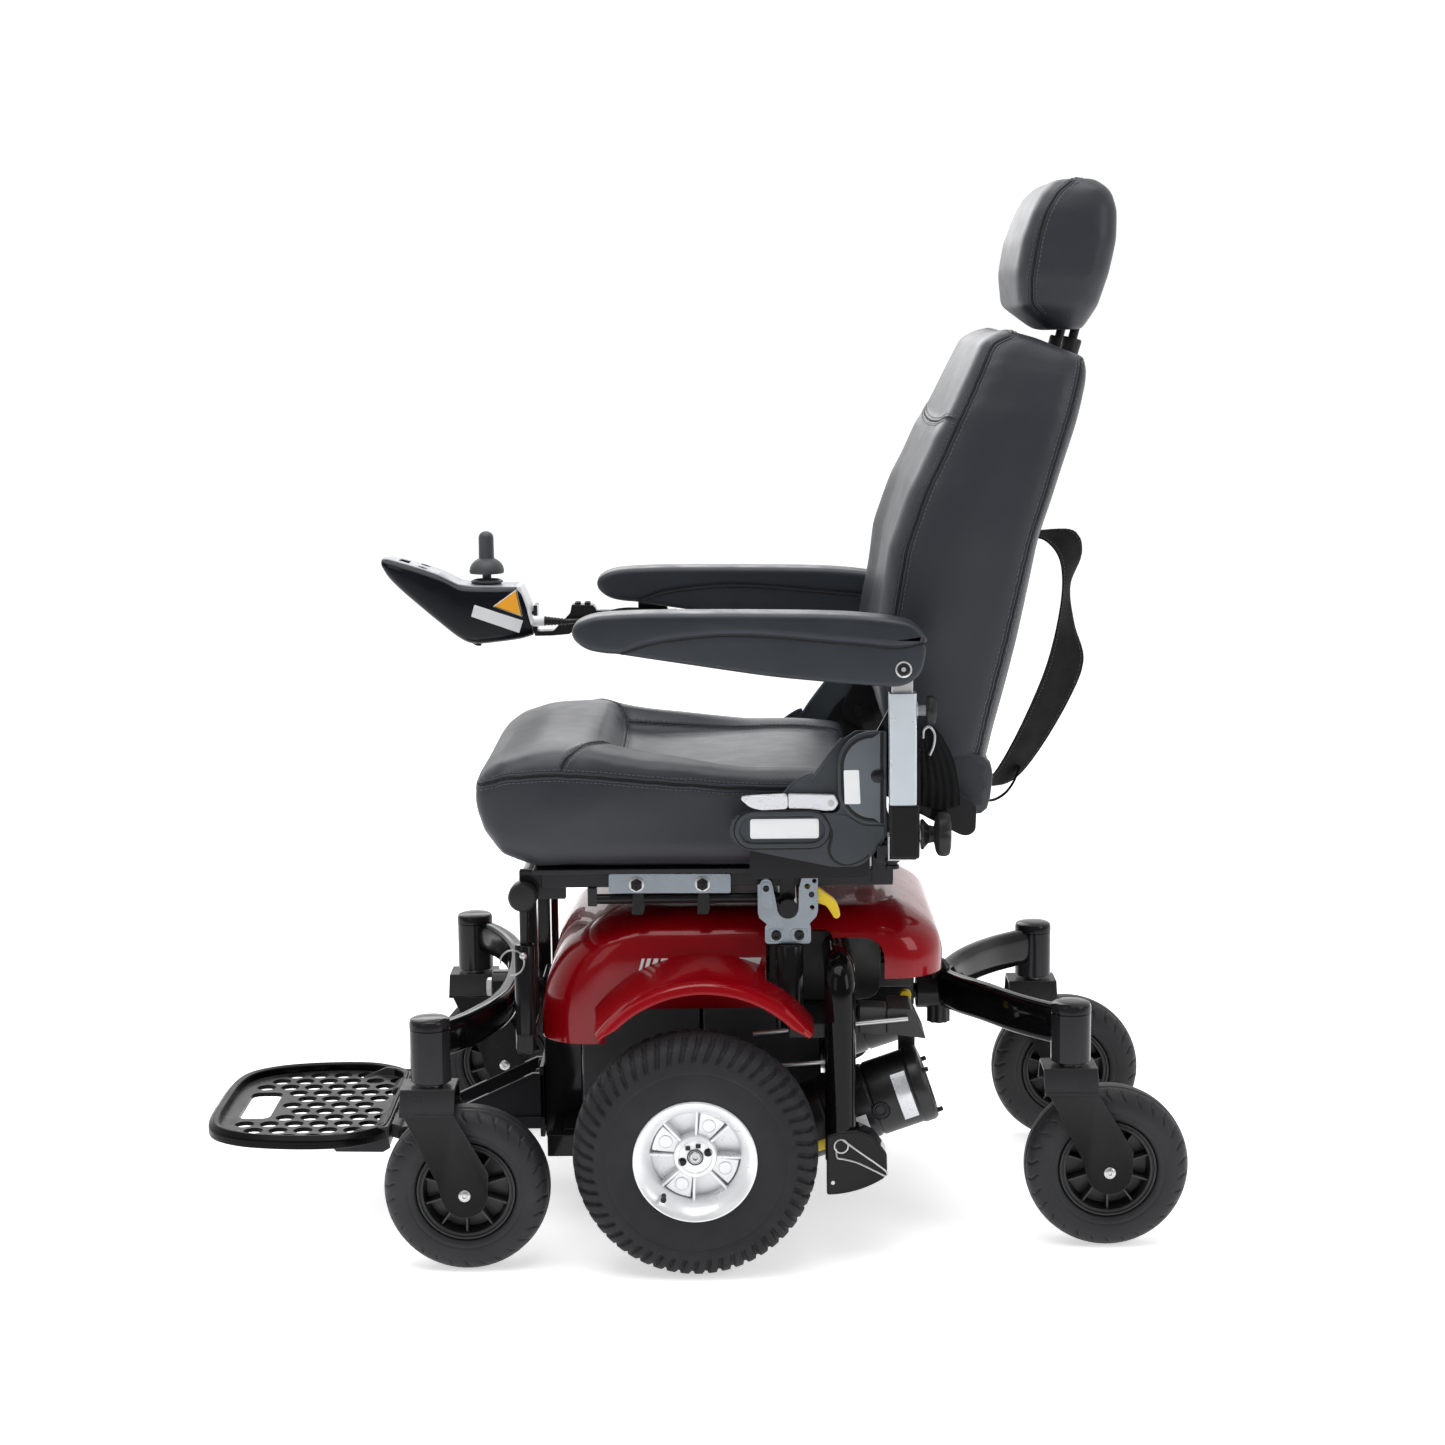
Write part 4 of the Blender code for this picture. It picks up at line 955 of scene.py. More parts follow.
def drive_rim(name, side):
    """A cast rim whose face has four bossed pads with recesses between them."""
    centre = joint_spot(f"{name}_drive_spin")
    body = f"{name}_drive_wheel"
    hub = (centre.y, centre.z)
    face = [(59.5, -33), (61, -36), (64, -36.5), (64, -34), (60, -31), (60.2, 32), (63.5, 35.5),
            (65.4, 37.2), (65.2, 38.6), (63.6, 39.3), (61.4, 38.6), (57, 35.4), (52.5, 30.5), (49.5, 25),
            (48, 18), (47.4, 8), (47.4, -31), (50, -33)]
    bm = made(turned, face, centre, 128, side=side, closed=True)
    piece(f"{name}_rim_flange", bm, "rim_silver", body, (f"{name}_drive_rim",), smooth_deg=40)

    bm = made(turned, [(47.6, 2), (47.6, -2), (10, -2), (10, 2)], centre, 96, side=side, closed=True)
    for k in range(8):
        middle = 65 + 45 * k if side > 0 else 115 - 45 * k
        if k % 2 == 0:
            side_plate(bm, side, sector(hub, 21, 46.4, middle - 18, middle + 18),
                       (side * centre.x + 1, side * centre.x + 14))
        side_plate(bm, side, rib(hub, math.radians(middle + 22.5), 21, 48.5, 1.5),
                   (side * centre.x + 1, side * centre.x + 18.5))
    piece(f"{name}_rim_spokes", bm, "rim_silver", body, bevel=0.9, segments=3)

    bm = bmesh.new()
    for k in range(0, 8, 2):
        middle = math.radians(65 + 45 * k if side > 0 else 115 - 45 * k)
        spot = around(centre, side * 14, 34.5, middle)
        turned(bm, [(7.4, -1), (7.4, 0.8), (6.6, 1.3), (6.2, 0.5), (0.5, 0.5)], spot, 40, side=side)
    turned(bm, [(23, 2), (23, 19), (22, 21), (18, 21.6), (17, 20.8), (9, 20.8), (8, 22), (6.6, 22),
                (6.4, 14)], centre, 96, side=side)
    piece(f"{name}_rim_hub", bm, "rim_silver", body, bevel=0.35)

    bm = made(turned, [(6.2, 14), (6.2, 23.5), (5.2, 24.5), (2.6, 24.5), (2.4, 22)], centre, 40, side=side)
    piece(f"{name}_axle_end", bm, "zinc", body, bevel=0.3)
    bm = bmesh.new()
    for turn in (20, 200):
        spot = around(centre, side * 21, 14.5, math.radians(turn))
        turned(bm, [(4.4, 0), (4.4, 0.9), (3.9, 1.1), (3.7, -0.4), (0.4, -0.4)], spot, 28, side=side)
        hex_prism(bm, spot, 2.6, 2.4, side)
    for turn in (75, 128):
        spot = around(centre, side * 21, 12.5, math.radians(turn))
        box(bm, sorted((spot.x, spot.x + side * 2.2)), (spot.y - 2.6, spot.y + 2.6),
            (spot.z - 2, spot.z + 2))
    turned(bm, [(8.6, 21), (8.6, 22.6), (7.4, 22.8), (7.2, 21)], centre, 40, side=side, closed=True)
    piece(f"{name}_hub_bolts", bm, "black_bolt", body, bevel=0.25)


def caster_tyre(name, centre, body):
    """A solid tyre with slanted notches, two grooves round its tread and a line on each wall."""
    blocks = 30

    def relief(angle, r, across):
        turn = (angle * blocks / math.tau + (0.5 if across < 0 else 0.0)) % 1.0
        notch = abs(turn - 0.5 - 0.16 * math.sin((r - 80) * 0.35))
        cut = 1.5 * (1 - ramp(notch, 0.035, 0.08)) * ramp(r, 74, 77) * (1 - ramp(r, 85.5, 87))
        band = 1.3 * (1 - ramp(abs(abs(across) - 9), 0.8, 1.8)) * ramp(r, 84, 86)
        ring = 0.8 * (1 - ramp(abs(r - 61), 0.6, 1.6)) * ramp(abs(across), 15, 20)
        return max(cut, band, ring)

    half = [(53.3, 19.5), (55, 23), (60, 25), (63, 25.2), (70, 25.3), (77, 23.8), (82.5, 20.4), (86, 15.5),
            (88, 9), (88.6, 4), (88.6, 0)]
    bm = tyre_mesh(half, centre, blocks * 12, 1, relief)
    piece(f"{name}_caster_tyre", bm, "caster_tyre", body, (f"{name}_tyre",), smooth_deg=50)


def caster_hub(name, centre, body):
    """A hub with a rim, a web, ten ribs on each face and a bored boss."""
    half = [(53.2, 18), (52.4, 21.5), (50.4, 22.2), (49, 20.2), (47.4, 21.4), (45.6, 20.6), (44.6, 12),
            (43.5, 3)]
    bm = made(turned, half + [(r, -w) for r, w in reversed(half)], centre, 96, closed=True)
    turned(bm, [(45, 2.4), (45, -2.4), (14, -2.4), (14, 2.4)], centre, 72, closed=True)
    turned(bm, [(5.5, 24), (15, 24), (17.5, 21.5), (17.5, -21.5), (15, -24), (5.5, -24)], centre, 64,
           closed=True)
    for face in (-1, 1):
        for k in range(10):
            plate(bm, rib((centre.y, centre.z), math.tau * (k + 0.5) / 10, 16, 46, 1.1),
                  sorted((centre.x + face * 1, centre.x + face * 17.5)))
    piece(f"{name}_caster_hub", bm, "hub_black", body, (f"{name}_hub",), bevel=0.6)


def caster_fork(name, pivot, axle, body):
    """A bent sheet fork: a top plate, two slanted shoulders with a rolled lip, and two straight legs."""
    x, y = pivot.x, pivot.y
    shoulder = [(-36.8, 175.5), (-22, 200.8), (22, 200.8), (36.8, 175.5), (33.4, 175.5), (20.2, 197.2),
                (-20.2, 197.2), (-33.4, 175.5)]
    bm = made(skin, [[(x + u, level, z) for u, z in shoulder] for level in (y - 31, y + 27)])
    piece(f"{name}_fork_top", bm, "fork_steel", body, (f"{name}_fork",), bevel=1.1, segments=3)
    leg = [(y - 28, 178.5), (y + 25, 178.5), (axle.y + 25.5, 112), (axle.y + 24.6, axle.z + 6)]
    leg += arc((axle.y, axle.z), 24.5, 0, -150, 14)
    leg += [(axle.y - 24.5, axle.z - 5), (axle.y - 28, 100)]
    legs = bmesh.new()
    for face in (-1, 1):
        plate(legs, leg, sorted((x + face * 31.6, x + face * 35.4)))
    piece(f"{name}_fork_legs", legs, "fork_steel", body, bevel=0.9, segments=3)
    lip = bmesh.new()
    for face in (-1, 1):
        side_box(lip, 1, sorted((x + face * 33.8, x + face * 37.4)), (y - 31, y + 27), (174.6, 178.4))
    piece(f"{name}_fork_lip", lip, "black_paint", body, bevel=1.2, segments=3)
    bolts = bmesh.new()
    for face in (-1, 1):
        spot = Vector((x + face * 35.2, axle.y, axle.z))
        turned(bolts, [(6.6, 0), (6.4, 1.2), (4.4, 2.6), (2.1, 2.9), (1.9, 1.5)], spot, 32, side=face)
    rod(bolts, (x - 35, axle.y, axle.z), (x + 35, axle.y, axle.z), 5)
    rod(bolts, (x, y, 200.4), (x, y, 203.4), 12.5)
    rod(bolts, (x, y, 195.6), (x, y, 198), 8, 6)
    piece(f"{name}_fork_axle", bolts, "zinc", body, bevel=0.3)


def casters():
    for end in ENDS:
        for label, _ in SIDES:
            name = f"{end}_{label}"
            axle, pivot = joint_spot(f"{name}_spin"), joint_spot(f"{name}_swivel")
            caster_tyre(name, axle, f"{name}_wheel")
            caster_hub(name, axle, f"{name}_wheel")
            caster_fork(name, pivot, axle, f"{name}_fork")


# ---------------------------------------------------------------- yokes and frame

BARREL_PROFILE = [(20.4, 0), (21.5, 1.2), (21.5, -12.4), (20.9, -11.9), (20.9, -11.4), (21.7, -10.9),
                  (21.7, -5), (20.6, -2.0), (17.6, -0.4), (8, 0.4), (1, 0.5)]


def barrel(bm, x, y, low, high):
    """A caster barrel with a domed cap pressed into its top."""
    profile = [(19.5, low), (21.5, low + 1.4)] + [(r, high + dz) for r, dz in BARREL_PROFILE[2:]]
    turned(bm, profile, (x, y, 0), 56, "Z")


def yoke(end, path, width, height, sleeve, barrel_span):
    name = f"{end}_yoke"
    pivot = joint_spot(f"{name}_rock")
    run = [(-x, y, z) for x, y, z in reversed(path[1:])] + path
    piece(f"{name}_tube", made(swept, smooth_path(run, 8), width, height, 28, square=1.5), "black_paint",
          name, (name,), smooth_deg=60)
    bm = made(turned, [(18.4, sleeve[0]), (19.8, sleeve[0] + 1.5), (19.8, sleeve[1] - 1.5),
                       (18.4, sleeve[1])], (0, 0, pivot.z), 56, "Y")
    spot = joint_spot(f"{end}_left_swivel")
    for side in (LEFT, RIGHT):
        barrel(bm, side * spot.x, spot.y, *barrel_span)
    piece(f"{name}_barrels", bm, "black_paint", name, smooth_deg=40)


def ribbed_cap(bm, centre, radius, low, high):
    """A moulded bolt cap with lobes around its rim."""
    rings = []
    for share, level in ((0.86, low), (1.0, low + 2), (1.0, high - 4), (0.8, high - 1.2), (0.3, high)):
        ring = []
        for i in range(72):
            a = math.tau * i / 72
            r = radius * share * (1 + 0.07 * math.cos(9 * a) * (share > 0.5))
            ring.append((centre[0] + r * math.cos(a), centre[1] + r * math.sin(a), level))
        rings.append(ring)
    skin(bm, rings)


def yokes():
    front = [(0, -211, 244), (60, -212, 245), (110, -217, 246), (160, -229, 247), (205, -247, 247),
             (238, -268, 247), (247, -277, 247)]
    rear = [(0, 283, 240), (45, 296, 242), (90, 321, 244), (135, 351, 243), (170, 383, 242),
            (188, 402, 242)]
    yoke("front", front, 22, 38, (-236, -196), (204, 274))
    yoke("rear", rear, 22, 43, (250, 296), (204, 270))
    bm = made(ribbed_cap, (0, 276), 12.5, 247, 268)
    ribbed_cap(bm, (0, 276), 9, 262, 272)
    flipped = made(ribbed_cap, (0, 276), 12.5, 219, 202)
    piece("rear_yoke_cap_top", bm, "knob_black", "rear_yoke", bevel=0.5)
    piece("rear_yoke_cap_low", flipped, "knob_black", "rear_yoke", bevel=0.5)
    bm = bmesh.new()
    for label, y in (("front", -238.4), ("rear", 298.4)):
        z = joint_spot(f"{label}_yoke_rock").z
        face = -1 if label == "front" else 1
        rings = [[(r * math.cos(a), y + face * d, z + r * math.sin(a))
                  for a in (math.tau * k / 6 for k in range(6))] for r, d in ((11, -2), (11, 3), (9.8, 4.2))]
        skin(bm, rings)
    piece("yoke_pivot_nuts", bm, "zinc", "chassis", bevel=0.3)


def frame_tubes():
    bm = made(box, (-105, 105), (-150, 158), (98, 106))
    box(bm, (-30, 30), (-176, -133), (73, 262))
    box(bm, (-203, 203), (-192, -174), (220, 240))
    box(bm, (-20, 20), (150, 247), (222, 256))
    box(bm, (-122, 122), (143, 160), (80, 262))
    for _, side in SIDES:
        side_box(bm, side, (100, 120), (-168, 159), (78, 103))
        side_box(bm, side, (95, 125), (144, 159), (240, 331))
        side_box(bm, side, (90, 112), (-191, -175), (230, 372))
        side_box(bm, side, (110, 224), (100, 162), (240, 256))
        side_box(bm, side, (116, 151.6), (-40, 22), (86, 128))
        side_box(bm, side, (24, 108), (-165, -145), (80, 99))
    piece("frame_bars", bm, "black_paint", "chassis", ("main_frame",), bevel=1.6, segments=3)
    bm = made(rod, (0, -150, 243), (0, -238, 243), 9)
    rod(bm, (0, 200, 234), (0, 298, 234), 9)
    for _, side in SIDES:
        seat = joint_spot("seat_tip")
        turned(bm, [(11, 222), (11, 336), (10, 338), (6, 338.6), (1, 338.6)], (side * 190, -183, 0), 40,
               "Z")
        turned(bm, [(15, 243), (15, 336), (14, 338)], (side * 200, 102, 0), 48, "Z")
        turned(bm, [(15.6, 179), (15.6, 192), (11.2, 192), (11.2, 179)], (0, seat.y, seat.z), 48, side=side,
               closed=True)
        rod(bm, (side * 186, -183, 330), (side * 186, -183, 377), 5, 24)
    piece("frame_posts", bm, "black_paint", "chassis", bevel=0.8, smooth_deg=40)
    guards()
    post_pins()


def guards():
    for label, side in SIDES:
        path = smooth_path([(side * 240, 154.5, 112), (side * 240, 154.5, 180), (side * 240, 154.5, 275),
                            (side * 238.5, 154.5, 298), (side * 230, 154.5, 312), (side * 212, 154.5, 316.5),
                            (side * 165, 154.5, 316.5), (side * 112, 154.5, 316.5)], 5)
        piece(f"{label}_guard_tube", made(swept, path, 33, 33, 40, (0, 1, 0)), "black_paint", "chassis",
              smooth_deg=50)
        shoe = [(139, 142), (151, 146), (172, 148.5), (190, 140), (203, 122), (203.5, 99)]
        shoe += arc((139, 190), 113, -55, -90, 12)[1:]
        piece(f"{label}_guard_shoe", made(side_plate, side, shoe, (222.5, 257.5)), "black_paint", "chassis",
              bevel=2.2, segments=3)
        bm = made(rod, (side * 257, 145.5, 91), (side * 258.2, 145.5, 91), 2.2, 20)
        wire = [(side * 257, 149, 128), (side * 258.6, 150, 119), (side * 258.6, 158, 117),
                (side * 258.6, 172, 113), (side * 258.6, 190, 104), (side * 258.6, 201, 98.5),
                (side * 258.6, 203, 102), (side * 258.6, 194, 110), (side * 258.6, 172, 126),
                (side * 257.6, 156, 138)]
        tube(bm, smooth_path(wire, 2), 1.1)
        turned(bm, [(8, 257.3), (8, 258.3), (6.6, 258.6), (6.6, 257.3)], (0, 154.5, 131), 32, side=side,
               closed=True)
        piece(f"{label}_guard_pin", bm, "zinc", "chassis", bevel=0.2)


def post_pins():
    """A ring pin on each front post, and the open wire loop that hangs from it."""
    for label, side in SIDES:
        bm = made(rod, (side * 203, -183, 328), (side * 176, -183, 328), 2.4, 16)
        ball(bm, (side * 203.5, -183, 328), 4.2)
        angles = [math.radians(a) for a in range(-100, 191, 15)]
        tube(bm, [Vector((side * 204.5 - side * 3 * math.sin(a), -183 - 12 + 13 * math.cos(a),
                          321 + 13 * math.sin(a))) for a in angles], 1.0)
        piece(f"{label}_post_pin", bm, "zinc", "chassis")


# ---------------------------------------------------------------- power base

def shroud_ring(level, front, rear, half_w, corner, inset, count=9):
    front, rear, half_w = front + inset, rear - inset, half_w - inset
    corner = max(corner - inset, 6)
    ring = []
    corners = ((1, rear - corner, 0), (-1, rear - corner, 90), (-1, front + corner, 180),
               (1, front + corner, 270))
    for sx, cy, start in corners:
        ring += arc((sx * (half_w - corner), cy), corner, start, start + 90, count)
    return [(x, y, level) for x, y in ring]


def shroud_levels():
    """The shell's plan at finely spaced heights: z, front, rear, half width and corner radius."""
    main = [(223, -170, 263, 178, 52), (250, -169, 267, 178.5, 54), (284, -163, 270, 178.5, 56),
            (318, -146, 271, 178, 60), (340, -122, 262, 173, 60), (356, -93, 241, 160, 60),
            (364, -72, 224, 146, 58), (366, -60, 214, 138, 56)]
    levels = []
    for i in range(len(main) - 1):
        rows = [np.array(main[max(min(i + k, len(main) - 1), 0)], float) for k in (-1, 0, 1, 2)]
        levels += [tuple(spline(*rows, k / 4)) for k in range(4)]
    return levels + [main[-1]]


def shroud():
    levels = shroud_levels()
    bm = made(skin, [shroud_ring(*level, 0) for level in levels])
    cutter = made(skin, [shroud_ring(z - 4 if z > 223 else 210, *rest, 4) for z, *rest in levels])
    obj = in_scene("shroud_shell", finish_mesh(bm, "shroud_shell"))
    for opening in [cutter] + shroud_trims():
        cut_out(obj, opening)
    shade(obj.data, 30)
    dress(obj, "red_gloss", "chassis", ("shroud",), 0.9, 2)
    for label, side in SIDES:
        arch(label, side)
        stripe(label, side)
    bm = bmesh.new()
    for _, side in SIDES:
        liner = rounded([(81, 258), (203, 258), (203, 336), (81, 336)], 22)
        side_plate(bm, side, liner, (126, 131))
    piece("shroud_liner", bm, "hub_black", "chassis", bevel=1.0)


def shroud_trims():
    """The openings in the shell, one closed cutter for each place."""
    trims = []
    for x, y, z in (((-300, 300), (-98, 79), (195, 262)), ((-300, 300), (204, 300), (195, 293)),
                    ((-38, 38), (-190, -140), (195, 268))):
        bm = made(box, x, y, z)
        trims.append(bm)
    for _, side in SIDES:
        bm = made(side_plate, side, rounded([(78, 190), (205, 190), (205, 338), (78, 338)], 26, 7),
                  (140, 300))
        trims.append(bm)
        bm = made(side_plate, side, rounded([(77, 230), (149, 230), (149, 346), (77, 346)], 10), (160, 219))
        trims.append(bm)
    bm = bmesh.new()
    for spot in ((26, 166), (-26, 166)):
        tray_slot(bm, spot, 24, 3.4, (350, 380))
    for side in (LEFT, RIGHT):
        tray_slot(bm, (side * 112, 128), 22, 3.6, (350, 380))
    trims.append(bm)
    return trims


def tray_slot(bm, centre, half_length, radius, z):
    """A long slot that runs lengthwise, cut from above."""
    outline = slot_outline((0, 0), half_length, radius)
    skin(bm, [[(centre[0] + v, centre[1] + u, level) for u, v in outline] for level in z])


def arch(label, side):
    """The wheel arch: it flares out of the shell and ends in a rolled lip."""
    section = [(174, 146.5), (174, 150.5), (186, 148.6), (205, 146.8), (230, 145.4), (255, 144.6),
               (270, 144.0), (277, 142.8), (281.5, 139.8), (283, 135.6), (283, 131.5), (281.6, 130.6),
               (280.2, 131.5), (279.8, 135.4), (277, 138.6), (270, 140.2), (230, 141.4), (190, 143.5)]
    centre = (10.5, 173.0)
    rings = []
    for k in range(61):
        a = math.radians(37 + 106 * k / 60)
        taper = min(1.0, 0.35 + min(k, 60 - k) / 7)
        ring = []
        for x, r in section:
            r = 141.5 + (r - 141.5) * (taper if r < 141.5 else 1.0)
            ring.append((side * x, centre[0] + r * math.cos(a), centre[1] + r * math.sin(a)))
        rings.append(ring)
    bm = made(skin, rings)
    notch = made(side_box, side, (160, 219), (76, 150), (230, 345))
    cut_piece(f"{label}_arch", bm, notch, "red_gloss", "chassis", bevel=0.8)


def stripe(label, side):
    """A plain white side stripe that breaks up towards the front."""
    bm = bmesh.new()
    x = (178.6, 179.3)
    slant = 4.0
    bars = [(-61, -58), (-55, -51), (-48, -43), (-40, -33), (-30, -20), (-17, 68)]
    for start, end in bars:
        side_plate(bm, side, [(start, 304), (end, 304), (end + slant, 318), (start + slant, 318)], x)
    piece(f"{label}_stripe", bm, "label", "chassis", bevel=0.2)


def batteries():
    for name in ("battery_front", "battery_rear"):
        low, high = box_of(name)
        bm = made(box, (low.x, high.x), (low.y, high.y), (low.z, 262))
        box(bm, (low.x, high.x), (low.y, high.y), (264, 272))
        box(bm, (low.x + 3, high.x - 3), (low.y + 3, high.y - 3), (260, 283))
        piece(f"{name}_case", bm, "battery", "chassis", (name,), bevel=2.2, segments=3)
        bm = bmesh.new()
        for x in (-75, 75):
            turned(bm, [(7, 282), (7, 288), (6, 290), (2.5, 290), (2.5, 286)], (x, low.y + 20, 0), 24, "Z")
        piece(f"{name}_terminals", bm, "zinc", "chassis", bevel=0.4)
        bm = bmesh.new()
        for x in (-60, 60):
            path = smooth_path([(x, low.y + 60, 283), (x, low.y + 66, 287), (x * 0.9, low.y + 90, 288),
                                (x, low.y + 114, 287), (x, low.y + 120, 283)], 3)
            swept(bm, path, 12, 2.2, 12)
        piece(f"{name}_strap", bm, "webbing", "chassis")
    low, high = box_of("control_module")
    bm = made(box, (low.x, high.x), (low.y, high.y), (low.z, high.z - 5))
    for k in range(12):
        x = low.x + 10 + k * (high.x - low.x - 20) / 11
        box(bm, (x - 1.6, x + 1.6), (low.y + 6, high.y - 18), (high.z - 8, high.z))
    for x in (-45, -15, 15, 45):
        box(bm, (x - 10, x + 10), (high.y - 6, high.y + 3), (low.z + 6, low.z + 20))
    piece("module_case", bm, "module", "chassis", ("control_module",), bevel=1.5)


def gearmotor(label, side):
    axle = joint_spot(f"{label}_drive_spin")
    body = "chassis"
    bm = made(turned, [(44, 152), (46, 154), (46, 196), (43, 200), (43, 214), (40, 218), (30, 219)],
              (0, 0, axle.z), 72, side=side)
    for k in range(8):
        a = math.tau * (k + 0.5) / 8
        spot = Vector((side * 196, 41.5 * math.cos(a), axle.z + 41.5 * math.sin(a)))
        rod(bm, spot, spot + Vector((side * 8, 0, 0)), 4.6, 20)
    rod(bm, (side * 200, 0, axle.z), (side * 270, 0, axle.z), 8.5)
    piece(f"{label}_gearbox", bm, "motor_black", body, (f"{label}_gearmotor",), bevel=1.0)

    rise = math.radians(19)
    axis = Vector((0, math.cos(rise), math.sin(rise)))
    end = Vector((side * 170, 253, 178))
    start = end - axis * 215
    profile = [(36, 0), (41, 4), (41, 96), (40, 97), (40, 99), (41, 100), (41, 148), (39.6, 149), (39.6, 151),
               (41, 152), (41, 196), (42.5, 198), (42.5, 209), (40, 213), (30, 214.4), (28, 212), (6, 212),
               (5, 215), (1, 215)]
    piece(f"{label}_motor", made(turned_along, profile, start, axis, 72), "motor_black", body, bevel=0.7,
          smooth_deg=38)

    across = Vector((0, -axis.z, axis.y))
    spot = end - axis * 58 + Vector((side * 40.4, 0, 0)) - across * 4
    bm = made(turned, [(10.5, -2), (10.5, 1.2), (9.4, 1.8), (8.6, 0.9), (7, 0.9), (6.4, 2.0), (4.6, 2.0),
                       (4.2, 0.8), (0.6, 0.8)], spot, 40, side=side)
    for k, turn in enumerate((35, 155, 275)):
        a = math.radians(turn)
        screw = end + axis * -1.5 + (across * math.sin(a) + Vector((side, 0, 0)) * math.cos(a)) * 35
        turned_along(bm, [(2.6, 0), (2.6, 5), (2.0, 6), (0.5, 6)], screw, axis, 20)
    piece(f"{label}_motor_caps", bm, "black_bolt", body, bevel=0.3)

    for name, finish, along, around in (("label", "label_silver", (178, 194), (-26, 30)),
                                        ("note", "label", (118, 140), (-24, -2)),
                                        ("mark", "yellow", (78, 96), (-30, -14))):
        piece(f"{label}_motor_{name}", made(label_patch, start, axis, across, side, 41.6, along, around),
              finish, body)

    bm = made(side_plate, side, rounded([(176, 240), (206, 238), (206, 268), (176, 270)], 2), (176, 206))
    piece(f"{label}_brake_box", bm, "module", body, bevel=1.6, segments=3)
    flare = [(206, 240), (248, 234), (233, 267), (206, 268)]
    bm = made(side_plate, side, rounded(flare, 3), (150, 208))
    piece(f"{label}_brake_cover", bm, "hub_black", body, bevel=2.0, segments=3)
    bm = made(side_plate, side, rounded([(222, 196), (240, 196), (240, 243), (222, 243)], 3), (129, 142))
    lever = joint_spot(f"{label}_freewheel_turn")
    rod(bm, (side * 132, lever.y, lever.z), (side * 115.5, lever.y, lever.z), 3, 20)
    piece(f"{label}_lever_post", bm, "motor_black", body, bevel=0.8)
    bm = bmesh.new()
    for y0, z0, y1, z1 in ((62, 243, 228, 258), (44, 205, 150, 212)):
        rod(bm, (side * 214, y0, z0), (side * 214, y1, z1), 2.4, 16)
    piece(f"{label}_brake_rod", bm, "zinc", body)


def label_patch(bm, start, axis, across, side, radius, along, around):
    """A thin label bent round a motor's barrel: along its axis and around it, both in millimetres."""
    rings = []
    for level in along:
        ring = []
        for lift, order in ((0.0, 1), (0.35, -1)):
            steps = range(13)[::order]
            for k in steps:
                a = (around[0] + (around[1] - around[0]) * k / 12) / radius
                out = Vector((side, 0, 0)) * math.cos(a) + across * math.sin(a)
                ring.append(start + axis * level + out * (radius - 0.5 + lift))
        rings.append(ring)
    skin(bm, rings)


def freewheel_lever(label, side):
    pivot = joint_spot(f"{label}_freewheel_turn")
    y, z = pivot.y, pivot.z
    outline = [(y - 7, z - 7), (y + 7, z - 7), (y + 7.5, z + 4), (y + 5.5, z + 24)]
    outline += arc((y, z + 24), 6.5, 10, 170, 9) + [(y - 7.5, z + 4)]
    bm = made(side_plate, side, outline, (117.2, 126.8))
    hole = made(rod, (side * 110, y, z), (side * 132, y, z), 3.4, 24)
    cut_piece(f"{label}_freewheel_handle", bm, hole, "yellow", f"{label}_freewheel_lever",
              (f"{label}_freewheel_lever",), bevel=1.6, segments=3)


